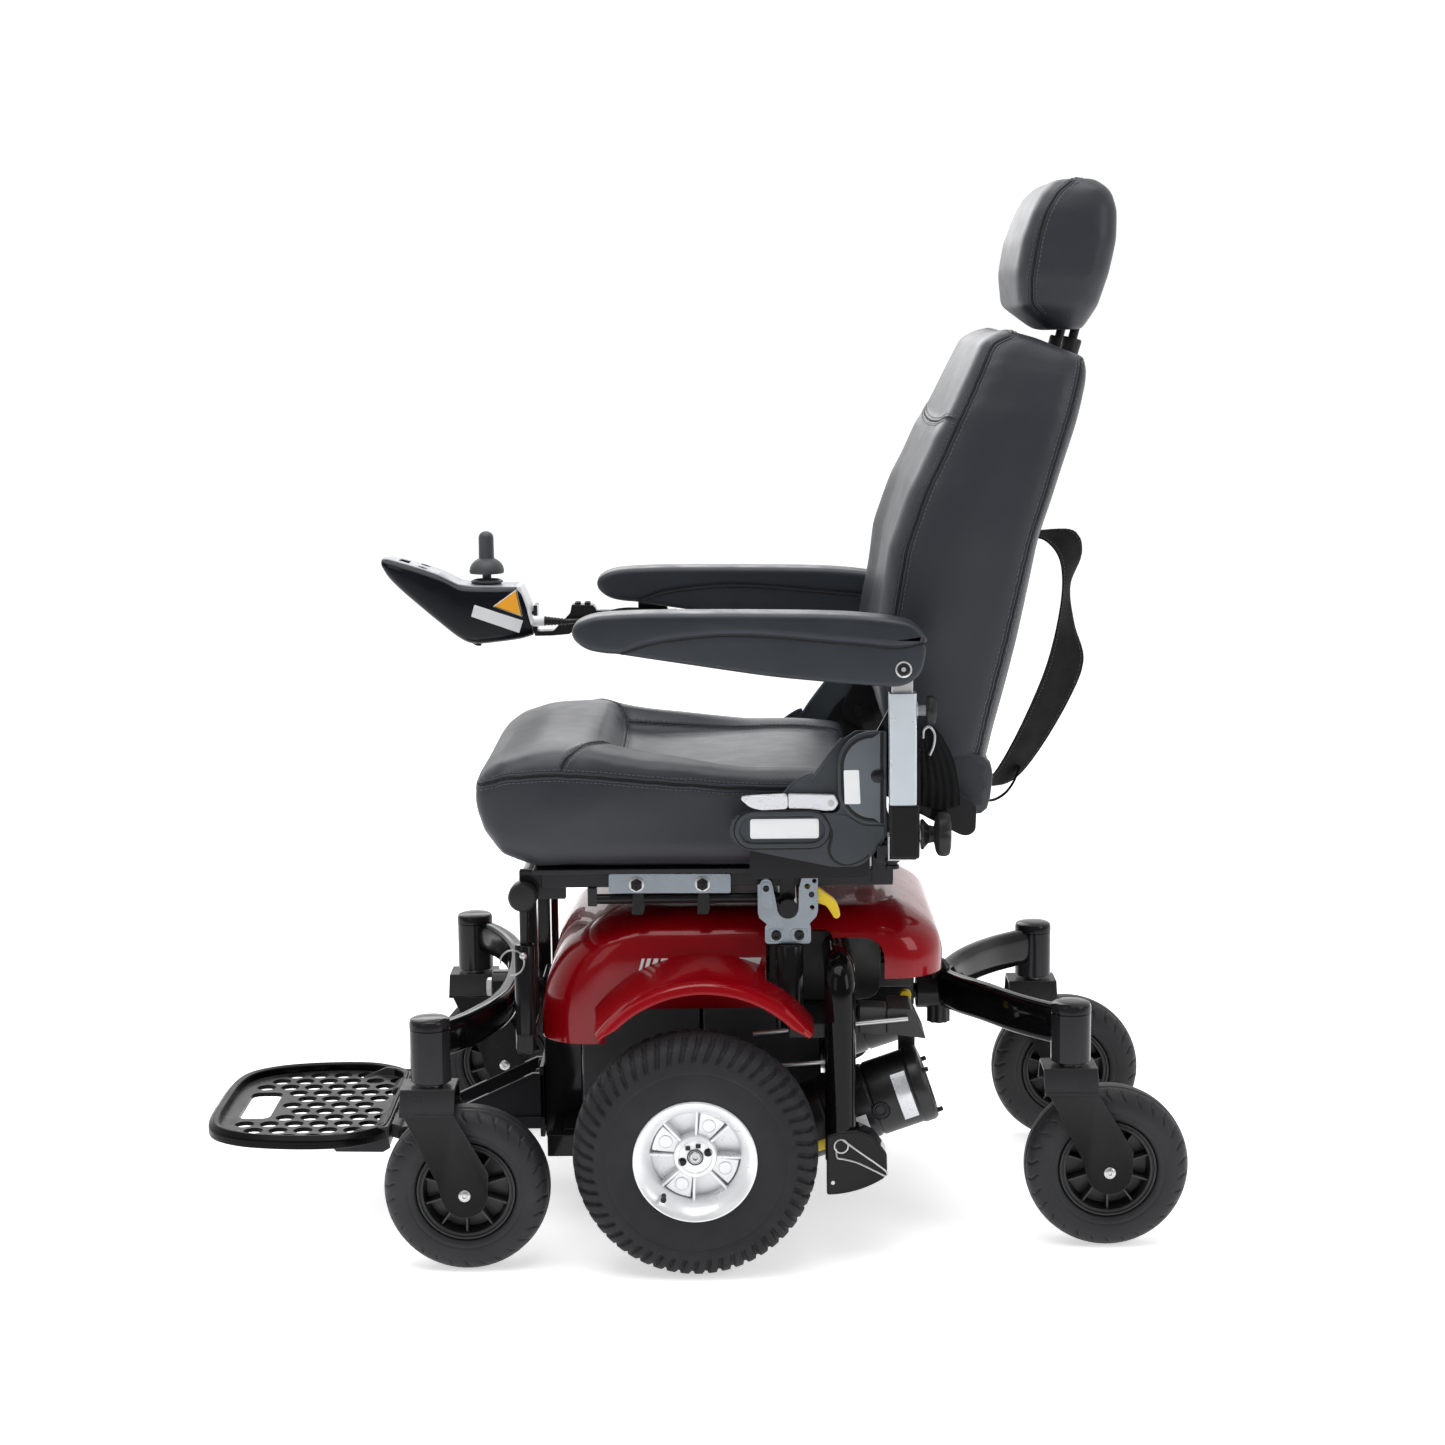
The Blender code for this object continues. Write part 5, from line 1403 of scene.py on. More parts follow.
def footplate():
    """A rimmed plate with staggered rows of round holes and a hand hole, and its hinge and bracket."""
    y, z = joint_spot("footplate_flip").yz
    outer = [(96, -345), (122, -352), (146, -384), (153, -420), (150, -470), (138, -512), (112, -543),
             (70, -555), (0, -557)]
    inner = [(88, -354), (112, -362), (135, -390), (142, -422), (139, -468), (128, -504), (105, -532),
             (66, -543), (0, -544.5)]
    count = 96
    loops = []
    for half in (outer, inner):
        loops.append(closed_2d(half + [(-x, y) for x, y in reversed(half[:-1])] + [(0, half[0][1])], count))
    middle = [tuple((a + b) / 2 for a, b in zip(p, q)) for p, q in zip(*loops)]
    rim = [(loops[0], 98.5), (loops[0], 108), (middle, 114), (loops[1], 112), (loops[1], 101)]
    bm = made(skin, [[(x, y, z) for x, y in loop] for loop, z in rim], closed=True)
    piece("footplate_rim", bm, "fork_steel", "footplate", ("footplate",), bevel=1.6, segments=3,
          smooth_deg=30)

    bm = made(skin, [[(x * 1.01, y, z) for x, y in loops[1]] for z in (99.2, 104)])
    hand = rounded([(52, -490), (52, -526), (-52, -526), (-52, -490)], 12, 6)
    holes = made(skin, [[(x, y, z) for x, y in hand] for z in (90, 110)])
    pitch, radius = 28.0, 10.9
    row_pitch = pitch * math.sqrt(0.75)
    for row in range(-5, 6):
        for k in range(6):
            x = row * row_pitch
            front = -360 - k * pitch - (pitch / 2 if row % 2 else 0)
            hand_edge = abs(x) < 60 and front < -474
            neck = abs(x) < 40 and front > -370
            corner = abs(x) > 110 and not -490 < front < -395
            if not (hand_edge or neck or corner or front < -514):
                rod(holes, (x, front, 90), (x, front, 110), radius, 28)
    cut_piece("footplate_floor", bm, holes, "fork_steel", "footplate", bevel=0.8)

    bm = bmesh.new()
    for side in (LEFT, RIGHT):
        turned(bm, [(4.6, 47), (9, 47.6), (9, 89.4), (4.6, 90)], (0, y, z), 36, side=side, closed=True)
        side_plate(bm, side, rounded([(y - 4, z + 9), (y - 24, z + 15), (y - 34, z + 9), (y - 30, z + 2),
                                      (y - 2, z - 8)], 3), (48, 89))
        wall = [(-348, 113), (-378, 113), (-408, 99), (-402, 90), (-352, 84), (-344, 88)]
        skin(bm, [[(side * (u + (w + 378) * -0.32), w, h) for w, h in wall] for u in (122, 126)])
    box(bm, (-112, 112), (-352, -346), (86, 112))
    piece("footplate_hinge", bm, "fork_steel", "footplate", bevel=1.2)

    bm = made(box, (-42, 42), (y + 6, -176.3), (86, 100))
    for x in (-34, 34):
        plate(bm, [(-176.3, 90), (-176.3, 150), (-190, 150), (-300, 99), (-300, 90)], (x - 4, x + 4))
    box(bm, (-38, 38), (-182, -176.3), (75, 158))
    piece("footrest_arm", bm, "black_paint", "chassis", ("footrest_bracket",), bevel=1.4)
    bm = made(rod, (-44, y, z), (44, y, z), 9)
    rod(bm, (-92, y, z), (92, y, z), 4)
    for x in (-20, 20):
        for level in (88, 145):
            turned_along(bm, [(6, 0), (6, 4), (5, 5), (2.4, 5), (2.4, 3)], (x, -182, level), (0, -1, 0), 28)
    piece("footrest_pins", bm, "black_bolt", "chassis", bevel=0.4)


# ---------------------------------------------------------------- seat hardware

def inset(outline, distance):
    """An outline moved inwards by a distance, for edges that are rounded across a plate."""
    points = [Vector(p) for p in outline]
    area = sum(a.cross(b) for a, b in zip(points, points[1:] + points[:1]))
    turn = 1 if area > 0 else -1
    result = []
    for i, point in enumerate(points):
        ahead = points[(i + 1) % len(points)] - points[i - 1]
        normal = Vector((-ahead.y, ahead.x)).normalized() * turn
        result.append(tuple(point + normal * distance))
    return result


def round_outline(points, step):
    """A closed outline, given by a few points, as evenly spaced points on a smooth curve."""
    loop = [Vector((y, z, 0)) for y, z in points]
    path = smooth_path(loop[-2:] + loop + loop[:2], step)
    first = min(range(len(path) // 2), key=lambda i: (path[i] - loop[0]).length)
    last = min(range(len(path) // 2, len(path)), key=lambda i: (path[i] - loop[0]).length)
    return [(p.x, p.y) for p in path[first:last]]


def crowned(bm, outline, middle, half, crown):
    """A plate with full, rounded edges; crown lists (share of half width, inset) from the rim inwards."""
    levels = [(share, depth) for share, depth in crown] + [(-s, d) for s, d in reversed(crown)]
    skin(bm, [[(middle + half * share, y, z) for y, z in inset(outline, depth)]
              for share, depth in levels])


COVER_IN, COVER_FACE, COVER_TOP = 230.6, 243.0, 246.0
OVAL = ((94.5, 470.5), 30.5)
DISC_OUTLINE = ([(204, 476), (204, 574.5)] + arc((189, 538), 36.5, 90, 180, 12)
                + arc((190, 513), 37, 180, 270, 12))


def side_cover(name, side):
    """The moulded cover over the hinge, with an oval label recess, a round boss and a lower lobe."""
    body = rounded([(39, 467), (42, 481), (54, 488), (155, 488), (157, 530), (166, 556), (182, 570),
                    (204, 573), (204, 462), (188, 441), (176, 431), (150, 430), (97, 441), (56, 450),
                    (44, 458)], 8)
    bm, recess = bmesh.new(), bmesh.new()
    side_plate(bm, side, body, (COVER_IN, COVER_FACE))
    oval = slot_outline(*OVAL, 14.5)
    side_plate(recess, side, oval, (240.6, COVER_TOP + 4))
    side_box(recess, side, (230, 241.6), (30, 160), (484, 500))
    cut_piece(f"{name}_cover_shell", bm, recess, "moulded_grey", "seat", (f"{name}_side_cover",), 1.4, 3)
    cut_piece(f"{name}_cover_oval", made(side_plate, side, slot_outline(*OVAL, 19.3),
                                         (241, COVER_FACE + 1.2)),
              made(side_plate, side, oval, (239, COVER_TOP + 4)), "moulded_grey", "seat", (), 1.0, 3)
    # A thin near-black ring round the oval's rim: painted shade in the gap around it.
    line, inner = bmesh.new(), bmesh.new()
    side_plate(line, side, slot_outline(*OVAL, 20.9), (241, COVER_FACE + 0.2))
    side_plate(inner, side, slot_outline(*OVAL, 18.0), (239, COVER_TOP + 4))
    cut_piece(f"{name}_cover_oval_shade", line, inner, "painted_shade_black", "seat")
    bm = made(side_plate, side, rounded([(61, 461), (61, 482), (133, 482), (133, 461)], 3), (240.4, 241.3))
    piece(f"{name}_cover_label", bm, "label", "seat", bevel=0.2)
    piece(f"{name}_cover_boss", made(side_plate, side, DISC_OUTLINE, (241.8, COVER_TOP - 0.6)),
          "moulded_grey", "seat", bevel=1.6, segments=3)
    # A near-black band round the boss face: painted shade in its groove.
    groove_shade_ring = made(side_plate, side, inset(DISC_OUTLINE, 3.2), (244, COVER_TOP - 0.45))
    piece(f"{name}_cover_boss_groove_shade", groove_shade_ring, "painted_shade_black", "seat")
    # The boss face takes the lighter copy of the cover's grey: painted highlight.
    face = made(side_plate, side, inset(DISC_OUTLINE, 6.6), (244, COVER_TOP + 0.2))
    piece(f"{name}_cover_boss_face", face, "painted_highlight_grey", "seat", bevel=0.8, segments=3)
    bm = made(side_plate, side, rounded([(160, 498), (159, 534), (175, 534), (176.5, 498)], 1.5),
              (246, COVER_TOP + 0.6))
    piece(f"{name}_boss_label", bm, "label", "seat", bevel=0.2)
    bm = made(turned, [(7, 0), (7, 1.2), (5.2, 2.4), (2.5, 2.9)], (side * COVER_TOP, 194.4, 527.5), 32,
              side=side)
    piece(f"{name}_boss_cap", bm, "black_bolt", "seat", bevel=0.3)
    lobe = smooth_path([(139, 487, 0), (147.5, 468, 0), (145, 450, 0), (150, 438, 0), (165, 432.5, 0),
                        (186, 442, 0), (202, 463, 0)], 2.5)
    bm = made(side_plate, side, [(p.x, p.y) for p in lobe] + [(202, 474), (178, 475.5), (162, 486)],
              (COVER_FACE - 1, COVER_FACE + 1.0))
    piece(f"{name}_cover_lobe", bm, "moulded_grey", "seat", bevel=0.9, segments=3)
    bm = made(tube, [Vector((side * COVER_FACE, p.x - 1.8, p.y)) for p in lobe[:-10]], 1.3)
    piece(f"{name}_cover_lobe_shadow", bm, "painted_shade_black", "seat")
    wing = [(96, 486), (100, 508), (108, 518.5), (125.4, 528.5), (125.8, 523), (132, 531), (145, 548),
            (155, 562), (172, 573), (196, 573), (196, 486)]
    piece(f"{name}_cover_wing", made(side_plate, side, wing, (228.8, 230.4)), "moulded_grey", "seat",
          bevel=0.6)
    ridge = [Vector((side * 229.5, y, z)) for y, z in ((97, 507), (108, 518.5), (125, 528), (126, 522),
                                                      (135, 535), (147, 551), (158, 565))]
    bm = made(tube, smooth_path(ridge, 3), 1.5)
    piece(f"{name}_cover_wing_ridge", bm, "moulded_grey", "seat")


def recline_lever():
    tip = rounded([(50, 504.5), (61, 494.5), (74, 491.2), (100.6, 492.6), (100.6, 507.6), (62, 506)], 4)
    piece("recline_lever_tip", made(plate, tip, (231.4, 242.6)), "lever_white", "recline_lever",
          ("recline_lever",), 1.6, 3)
    arm = rounded([(101.2, 492.8), (122, 492.2), (140, 490), (149, 490.5), (154, 498), (150, 506.5),
                   (101.2, 507.6)], 2)
    bm = made(plate, arm, (231.6, 241.3))
    piece("recline_lever_arm", bm, "lever_white", "recline_lever", bevel=1.2, segments=3)


def seat_frame():
    bm = made(box, (-195, 195), (-172, 189), (414.5, 419.6))
    for _, side in SIDES:
        side_plate(bm, side, [(64, 415.2), (184, 415.2), (184, 418.8), (64, 418.8)], (188, 228.3))
    piece("seat_pan", bm, "black_paint", "seat", ("seat_frame",), 1.0)
    pivot_y, pivot_z = joint_spot("seat_tip").yz
    bm = made(rod, (-194, pivot_y, pivot_z), (194, pivot_y, pivot_z), 10.7)
    rod(bm, (-206, 101, 377.3), (206, 101, 377.3), 10.7)
    piece("seat_tubes", bm, "black_paint", "seat", bevel=0.8)
    cut_piece("seat_rear_tube", made(box, (-216, 216), (190, 215), (432, 457)),
              made(box, (-230, 230), (193, 212), (435, 454)), "black_paint", "seat", (), 1.2)
    for name, side in SIDES:
        bm = made(turned, [(15.5, 0), (15.5, 8), (13.5, 11), (6, 12)], (side * 192.4, pivot_y, pivot_z), 40,
                  side=side)
        piece(f"{name}_seat_pivot_cap", bm, "knob_black", "seat", bevel=0.6)
        bm = made(side_box, side, (166, 177), (-188, -138), (384, 416))
        side_box(bm, side, (166, 184), (-164, 214), (398, 415.5))
        side_box(bm, side, (166, 188), (92, 109), (374, 416))
        side_box(bm, side, (166, 188), (191, 214), (402, 434))
        piece(f"{name}_seat_rail", bm, "black_paint", "seat", bevel=1.2)
        rail = rounded([(-91, 393), (-91, 415), (40, 414), (40, 392)], 3)
        bm = made(side_plate, side, rail, (185, 192.6))
        piece(f"{name}_rail_plate", bm, "silver_plate", "seat", bevel=0.9)
        bm = made(rod, (side * 182, -111, 385), (side * 182, 92, 385), 5.5)
        side_box(bm, side, (176, 188), (-114, -104), (378, 398))
        piece(f"{name}_tip_rod", bm, "black_paint", "seat", bevel=0.8)
        ring, nut = bmesh.new(), bmesh.new()
        for y in (-61, 9.6):
            turned(ring, [(8.2, 0), (8.2, 1.2), (6.5, 1.6)], (side * 192.5, y, 403), 32, side=side)
            hex_prism(nut, (side * 194, y, 403), 6.6, 6, side)
            bolt_head(nut, (side * 199.5, y, 403), 3.4, 2.4, side)
        piece(f"{name}_rail_washers", ring, "zinc", "seat")
        piece(f"{name}_rail_nuts", nut, "black_bolt", "seat", bevel=0.4)
        bm = bmesh.new()
        for y in (-59.5, 10.5):
            hanger = rounded([(y - 6, 391), (y - 7, 368.5), (y + 5, 368.5), (y + 7, 376), (y + 6, 391)], 2)
            side_plate(bm, side, hanger, (175.5, 177.5))
            side_plate(bm, side, hanger, (186.5, 188.5))
        piece(f"{name}_rod_hangers", bm, "black_paint", "seat", bevel=0.5)
        hinge = rounded([(60, 415.5), (187, 415.5), (187, 482), (206, 508), (214, 528), (208, 542),
                         (194, 548), (178, 544), (165, 530), (150, 505), (70, 470), (60, 440)], 6)
        back_y, back_z = joint_spot("back_recline").yz
        bm = made(side_plate, side, hinge, (225.1, 228.4))
        rod(bm, (side * 219.9, back_y, back_z), (side * 227, back_y, back_z), 6)
        piece(f"{name}_hinge_plate", bm, "black_paint", "seat", bevel=0.5)
    lever_y, lever_z = joint_spot("recline_lever_lift").yz
    piece("recline_lever_pin", made(rod, (228, lever_y, lever_z), (242, lever_y, lever_z), 3.4), "zinc",
          "seat", bevel=0.4)


def latches():
    pin_y, pin_z = joint_spot("left_latch_release").yz
    for name, side in SIDES:
        catch = [(68.5, 372.6), (68.5, 403)] + arc((77.5, 403), 6.5, 170, 10, 7) + [(89.4, 377)]
        catch += arc((100.6, 377.3), 11.4, 182, 358, 13)
        catch += [(112.6, 399), (115.5, 410.5), (119, 413), (130, 413), (132.8, 410), (132.8, 374),
                  (131, 368), (123.5, 360), (125, 357), (125, 341), (123, 338.6), (78, 338.6),
                  (76, 341), (76, 357), (78, 360), (70, 367)]
        bm, holes = bmesh.new(), bmesh.new()
        side_plate(bm, side, catch, (197.2, 201.8))
        for y, z, radius in ((129, 407, 2.4), (121.5, 401, 3.0), (126.5, 378, 2.6), (78.5, 384, 2.6)):
            side_plate(holes, side, disc((y, z), radius, 20), (190, 210))
        cut_piece(f"{name}_catch_plate", bm, holes, "silver_plate", "chassis",
                  (f"{name}_seat_latch",), 0.7, 2)
        bm = made(rod, (side * 188.6, pin_y, pin_z), (side * 203.4, pin_y, pin_z), 3)
        for y in (88, 112.6):
            bolt_head(bm, (side * 201.6, y, 348), 5.4, 4.2, side)
        bolt_head(bm, (side * 201.6, 77.5, 399), 3.4, 3.0, side)
        piece(f"{name}_catch_bolts", bm, "black_bolt", "chassis", bevel=0.4)
        washer = rounded([(79, 341), (79, 355), (97, 355), (97, 341)], 4)
        bm = made(side_plate, side, washer, (201.4, 202.4))
        side_plate(bm, side, [(y + 24.6, z) for y, z in washer], (201.4, 202.4))
        teardrop = arc((77.5, 401), 5.6, 20, 160, 7) + arc((78.5, 383), 7.6, 195, 345, 8)
        side_plate(bm, side, teardrop, (201.4, 202.6))
        piece(f"{name}_catch_pads", bm, "silver_plate", "chassis", bevel=0.4)
        bm, hole = bmesh.new(), bmesh.new()
        blade = round_outline([(115, 395), (115, 389.5), (120, 385.5), (131, 381.5), (141, 378), (147, 370),
                               (151, 364), (156.5, 366.5), (155, 376), (150.5, 385), (141, 392.5),
                               (133, 398.5), (123, 400.5)], 2)
        side_plate(bm, side, blade, (189.6, 195.9))
        rod(hole, (side * 180, pin_y, pin_z), (side * 199, pin_y, pin_z), 3.5)
        cut_piece(f"{name}_release_lever", bm, hole, "yellow", f"{name}_latch_lever",
                  (f"{name}_latch_lever",), 1.6, 3)


def back_frame():
    back_y, back_z = joint_spot("back_recline").yz
    piece("back_tube", made(rod, (-224, 288, 471), (224, 288, 471), 9.5), "black_paint", "back",
          ("back_frame",), 0.8)
    for name, side in SIDES:
        ear = rounded(arc((back_y, back_z), 20, 150, 215, 4) + arc((288, 471), 12.5, 240, 330, 4)
                      + [(300, 490), (240, 540), (236, 590), (222, 602), (208, 596)], 4)
        cut_piece(f"{name}_back_ear", made(side_plate, side, ear, (219.8, 224.5)),
                  made(rod, (side * 200, back_y, back_z), (side * 240, back_y, back_z), 6.3), "black_paint",
                  "back", (), 0.9, 2)
        hook = smooth_path([(side * HOOK_X, y, z) for y, z in ((250, 546), (254, 556), (255, 568), (250, 576),
                                                               (244, 573), (243, 564))], 1.5)
        piece(f"{name}_flap_hook", made(tube, hook, 1.5, 12), "zinc", "back")
        gusset(name, side)


GUSSET_TOP, GUSSET_FOOT, GUSSET_FRONT_Y, GUSSET_X = 578, 489.0, 241.0, 226.8
PLEATS, PLEAT_DEPTH, CLOTH_THICK = 5, 0.9, 0.9
GUSSET_REAR = [(246, GUSSET_TOP), (257, 573), (267, 559), (276, 538), (281, 511), (282, 492)]
HOOK_X = 228.7


def gusset(name, side):
    """Pleated cloth over the hinge plate; its pleats fan out from the upper hook."""
    rear = smooth_path([Vector((0, y, z)) for y, z in GUSSET_REAR], 3)
    rings, across = [], np.linspace(0, 1, 40)
    for point in rear:
        depth = point.y - GUSSET_FRONT_Y
        drop = (GUSSET_TOP - point.z) / (GUSSET_TOP - GUSSET_FOOT)
        lean, deep = 0.8 * math.sin(7 * drop), PLEAT_DEPTH * min(1, 2.5 * drop)
        wave = [deep * math.sin(math.tau * PLEATS * share + lean) for share in across]
        outer = [(side * (GUSSET_X + w), GUSSET_FRONT_Y + depth * share,
                  point.z - 4 * math.sin(math.pi * share)) for w, share in zip(wave, across)]
        inner = [(x - side * CLOTH_THICK, y, z) for x, y, z in reversed(outer)]
        rings.append(outer + inner)
    piece(f"{name}_back_gusset", made(skin, rings), "webbing", "back", smooth_deg=70)


BELT_NEAR = [(316, 494), (327, 483), (338, 490), (356, 520), (378, 566), (396, 612), (408, 660),
             (413, 700), (409, 732), (393, 752), (374, 756)]
BELT_FAR = [(318, 484), (334, 470), (362, 476), (390, 508), (424, 566), (441, 613), (430, 655),
            (425, 698), (438, 735), (428, 760), (384, 760)]
BELT_HALF = 16.0


def lap_belt():
    """Webbing that stands off behind the backrest as one twisted strap, with a stitched row at each edge."""
    near = smooth_path([(BELT_HALF, y, z) for y, z in BELT_NEAR], 4)
    far = smooth_path([(-BELT_HALF, y, z) for y, z in BELT_FAR], 4)
    count, thick = min(len(near), len(far)), 0.9
    strap, stitches, rows = bmesh.new(), bmesh.new(), []
    for i in range(count):
        a, b = (side[round(i * (len(side) - 1) / (count - 1))] for side in (near, far))
        rows.append((a, b))
    rings, normals = [], []
    for i, (a, b) in enumerate(rows):
        ahead = sum(rows[min(i + 1, count - 1)], Vector()) - sum(rows[max(i - 1, 0)], Vector())
        normals.append((a - b).cross(ahead).normalized())
        n = normals[-1] * thick
        rings.append([a - n, b - n, b + n, a + n])
    skin(strap, rings)
    belt = piece("lap_belt_strap", strap, "webbing", "back", ("lap_belt",), 0.4)
    for edge in (0.09, 0.91):
        for side in (-1, 1):
            spots = [a.lerp(b, edge) + n * side * thick for (a, b), n in zip(rows, normals)]
            for a, b in zip(spots[2:-2], spots[3:-1]):
                one_stitch(stitches, (a + b) / 2, (b - a) * 0.32, 0.15, 0.45)
    piece("lap_belt_stitches", stitches, "thread", "back")
    tail = smooth_path([(0, 308, 480), (0, 318, 462), (0, 334, 455), (0, 350, 462), (0, 361, 476),
                        (0, 368, 494)], 4)
    piece("belt_keeper", made(swept, tail, 12, 1.4, 8, up=(0, 0.3, 1), square=2), "webbing", "back")


# ---------------------------------------------------------------- armrests

def sleeve(name, side):
    """A black receiver on a square bar that holds the upright silver sleeve."""
    body = f"{name}_arm_bracket"
    bm, bore = bmesh.new(), bmesh.new()
    outline = rounded([(240, 206), (262.5, 206), (262.5, 234.5), (240, 234.5)], 3.2)
    skin(bm, [[(side * x, y, z) for x, y in outline] for z in (499, 616)])
    side_box(bore, side, (243.6, 256.4), (208.6, 231.4), (470, 640))
    cut_piece(f"{name}_sleeve", bm, bore, "silver_sleeve", body, (body,), 1.0, 3)
    piece(f"{name}_receiver", made(side_box, side, (236.5, 263.5), (206, 237.5), (442, 499.6)),
          "black_paint", body, bevel=3.0, segments=4)
    piece(f"{name}_arm_bar", made(side_box, side, (110, 250), (193.5, 211.5), (435.5, 453.5)),
          "black_paint", body, bevel=1.2)
    edge = [(204.4, 466), (204.4, 440.6), (234, 440.6), (234, 442.2), (206, 442.2), (206, 466)]
    bm = made(side_plate, side, edge, (240, 263))
    piece(f"{name}_receiver_edge", bm, "zinc", body, bevel=0.3)
    bm = made(turned, [(7.2, 0), (7.2, 3.4), (5.5, 4.6), (5.5, 6.5), (7.6, 7.0), (7.6, 10)],
              (side * 252, 209.5, 430.5), 24, "Z")
    piece(f"{name}_receiver_screw", bm, "black_bolt", body, bevel=0.4)
    bm = bmesh.new()
    for z, y in ((CLAMP_Z, 237.4), (HEIGHT_Z, 234.4)):
        turned(bm, [(9, 0), (9, 1.8), (4, 1.8)], (side * ARM_X, y, z), 6, "Y")
    piece(f"{name}_knob_nuts", bm, "zinc", body, bevel=0.3)


ARM_X = abs(joint_spot("left_arm_flip").x)
CLAMP_Z = joint_spot("left_clamp_knob_turn").z
HEIGHT_Z = joint_spot("left_height_knob_turn").z


def arm_post(name, side):
    y, z = joint_spot(f"{name}_arm_flip").yz
    outline = [(y - 11, 505), (y + 11, 505)] + arc((y, z), 11, 0, 180, 25)
    bm = made(side_plate, side, outline, (ARM_X - 5.8, ARM_X + 5.8))
    piece(f"{name}_post_bar", bm, "zinc", f"{name}_arm_post", (f"{name}_arm_post",), 1.8, 3)
    piece(f"{name}_post_pin", made(rod, (side * (ARM_X - 25), y, z), (side * (ARM_X + 25), y, z), 4.9),
          "zinc", f"{name}_arm_post", bevel=0.5)


def lobed(bm, profile, centre, lobes, depth, count=96):
    """A hand knob turned about Y whose rim has shallow finger lobes: profile is (radius, distance)."""
    rings = []
    for radius, along in profile:
        ring = []
        for i in range(count):
            a = math.tau * i / count
            size = radius * (1 + depth * math.cos(lobes * a))
            ring.append((centre[0] + size * math.cos(a), centre[1] + along, centre[2] + size * math.sin(a)))
        rings.append(ring)
    skin(bm, rings)


def knobs(name):
    centre = joint_spot(f"{name}_clamp_knob_turn")
    node = f"{name}_clamp_knob"
    bm = made(lobed, [(15.5, 0.8), (16.2, 3), (9.5, 9), (8.5, 14.5), (18, 16.5), (22.2, 19), (23.2, 23),
                      (23.2, 27), (21.5, 30.5), (16, 32), (6, 31)], centre, 8, 0.018)
    piece(f"{name}_clamp_handle", bm, "knob_black", node, (node,), 0.3)
    centre = joint_spot(f"{name}_height_knob_turn")
    node = f"{name}_height_knob"
    piece(f"{name}_height_stem", made(turned, [(5.4, 0.4), (5.8, 9.5)], centre, 32, "Y"), "grey_top", node,
          (node,), 0.4)
    bm = made(lobed, [(7, 9), (13.5, 10), (15.4, 12), (15.6, 16), (14, 18.8), (8, 20)], centre, 6, 0.03)
    piece(f"{name}_height_handle", bm, "knob_black", node, bevel=0.3)


PAD_TOP = [(-69.4, 661.5), (-98, 664), (-113.5, 671.5), (-120.5, 682), (-116, 693), (-97, 700.3),
           (-66, 702.6), (-21, 703.2), (77, 702.2), (150, 700.3), (195, 696.6), (226, 691), (240, 681),
           (243.6, 670)]
PARTING = [(215, 664.5), (178, 668), (142, 671.4), (77, 677.4), (30, 678.6), (-17, 674.4), (-43, 670)]
PAD_LOWER = [(-110, 680), (-60, 690), (80, 692), (190, 688), (226, 682), (242, 668), (242, 653),
             (237, 638), (226, 628.5), (212, 624.8), (182, 626.6), (129, 631.5), (77, 637.5),
             (0, 649.5), (-62, 659.5), (-95, 666)]
CLAMP_BORE_X, CLAMP_BORE_Z = (-272.6, -257.4), (633.4, 648.6)


def armrest(name, side):
    """A soft grey pad whose skin laps over a firm lower body along an arched line."""
    flip_y, flip_z = joint_spot(f"{name}_arm_flip").yz
    node, middle = f"{name}_armrest", side * ARM_X
    upper, lower = bmesh.new(), bmesh.new()
    crown = [(1.0, 8.5), (0.985, 5.6), (0.95, 3.2), (0.88, 1.4), (0.74, 0.35), (0.4, 0.0)]
    crowned(upper, round_outline(PAD_TOP + PARTING, 4), middle, 25.9, crown)
    shell_crown = [(1.0, 5.2), (0.985, 3.2), (0.955, 1.6), (0.90, 0.5), (0.82, 0.0)]
    crowned(lower, round_outline(PAD_LOWER, 4), middle, 24.4, shell_crown)
    slot = made(side_box, side, (243.5, 256.5), (207, 270), (600, 658))
    if side == RIGHT:
        box(slot, CLAMP_BORE_X, (-140, -16), CLAMP_BORE_Z)
        rod(slot, (-236, 192, 610), (-236, 192, 636), 5.5, 24)
    lip = smooth_path([(0, y, z) for y, z in [PAD_TOP[-1]] + PARTING + [PAD_TOP[0]]], 3)
    # Near-black tubes along the parting line on both faces: painted shade in the seam between pad and body.
    line = bmesh.new()
    for face in (1, -1):
        tube(line, [Vector((middle + face * 24.6, p.y, p.z)) for p in lip], 0.9)
    piece(f"{name}_pad_parting_shade", line, "painted_shade_black", node)
    pad = piece(f"{name}_pad_skin", upper, "arm_pad", node, (node,), 0, smooth_deg=50)
    shell = cut_piece(f"{name}_pad_body", lower, slot, "arm_pad", node, smooth_deg=50)
    ring, bolt = bmesh.new(), bmesh.new()
    for face in (1, -1):
        start = (middle + face * 23.9, flip_y, flip_z)
        turned(ring, [(8.6, 0), (8.6, 1.3), (7.6, 1.7), (6.6, 0.9), (6.6, 0)], start, 40, side=face)
        bolt_head(bolt, start, 5.6, 1.9, face, 32)
    piece(f"{name}_bolt_rings", ring, "zinc", node, bevel=0.2)
    piece(f"{name}_arm_bolts", bolt, "black_bolt", node, bevel=0.3)
    if side == RIGHT:
        cut_piece("controller_clamp", made(box, (-276.4, -253.6), (-71.8, -36.2), (627.2, 663.8)),
                  made(box, CLAMP_BORE_X, (-90, -20), CLAMP_BORE_Z), "black_paint", node, (), 1.4, 3)
        piece("controller_clamp_screw", made(rod, (-265, -54, 619), (-265, -54, 628), 6.5), "knob_black",
              node, bevel=1.0)


# ---------------------------------------------------------------- controller

SHELL = [(-381.5, 706.5, 714.0, 23), (-374, 693, 714.5, 27), (-358, 677, 710.5, 31),
         (-335, 657, 703.8, 33.5), (-312, 637.5, 695.5, 34.5), (-288, 618.5, 683.6, 34.8),
         (-270, 611.5, 681.2, 34.8), (-240, 613.5, 680.4, 34.5), (-216, 616.5, 679.6, 33.8),
         (-207, 618.5, 664, 32), (-199.8, 620.5, 646, 30)]


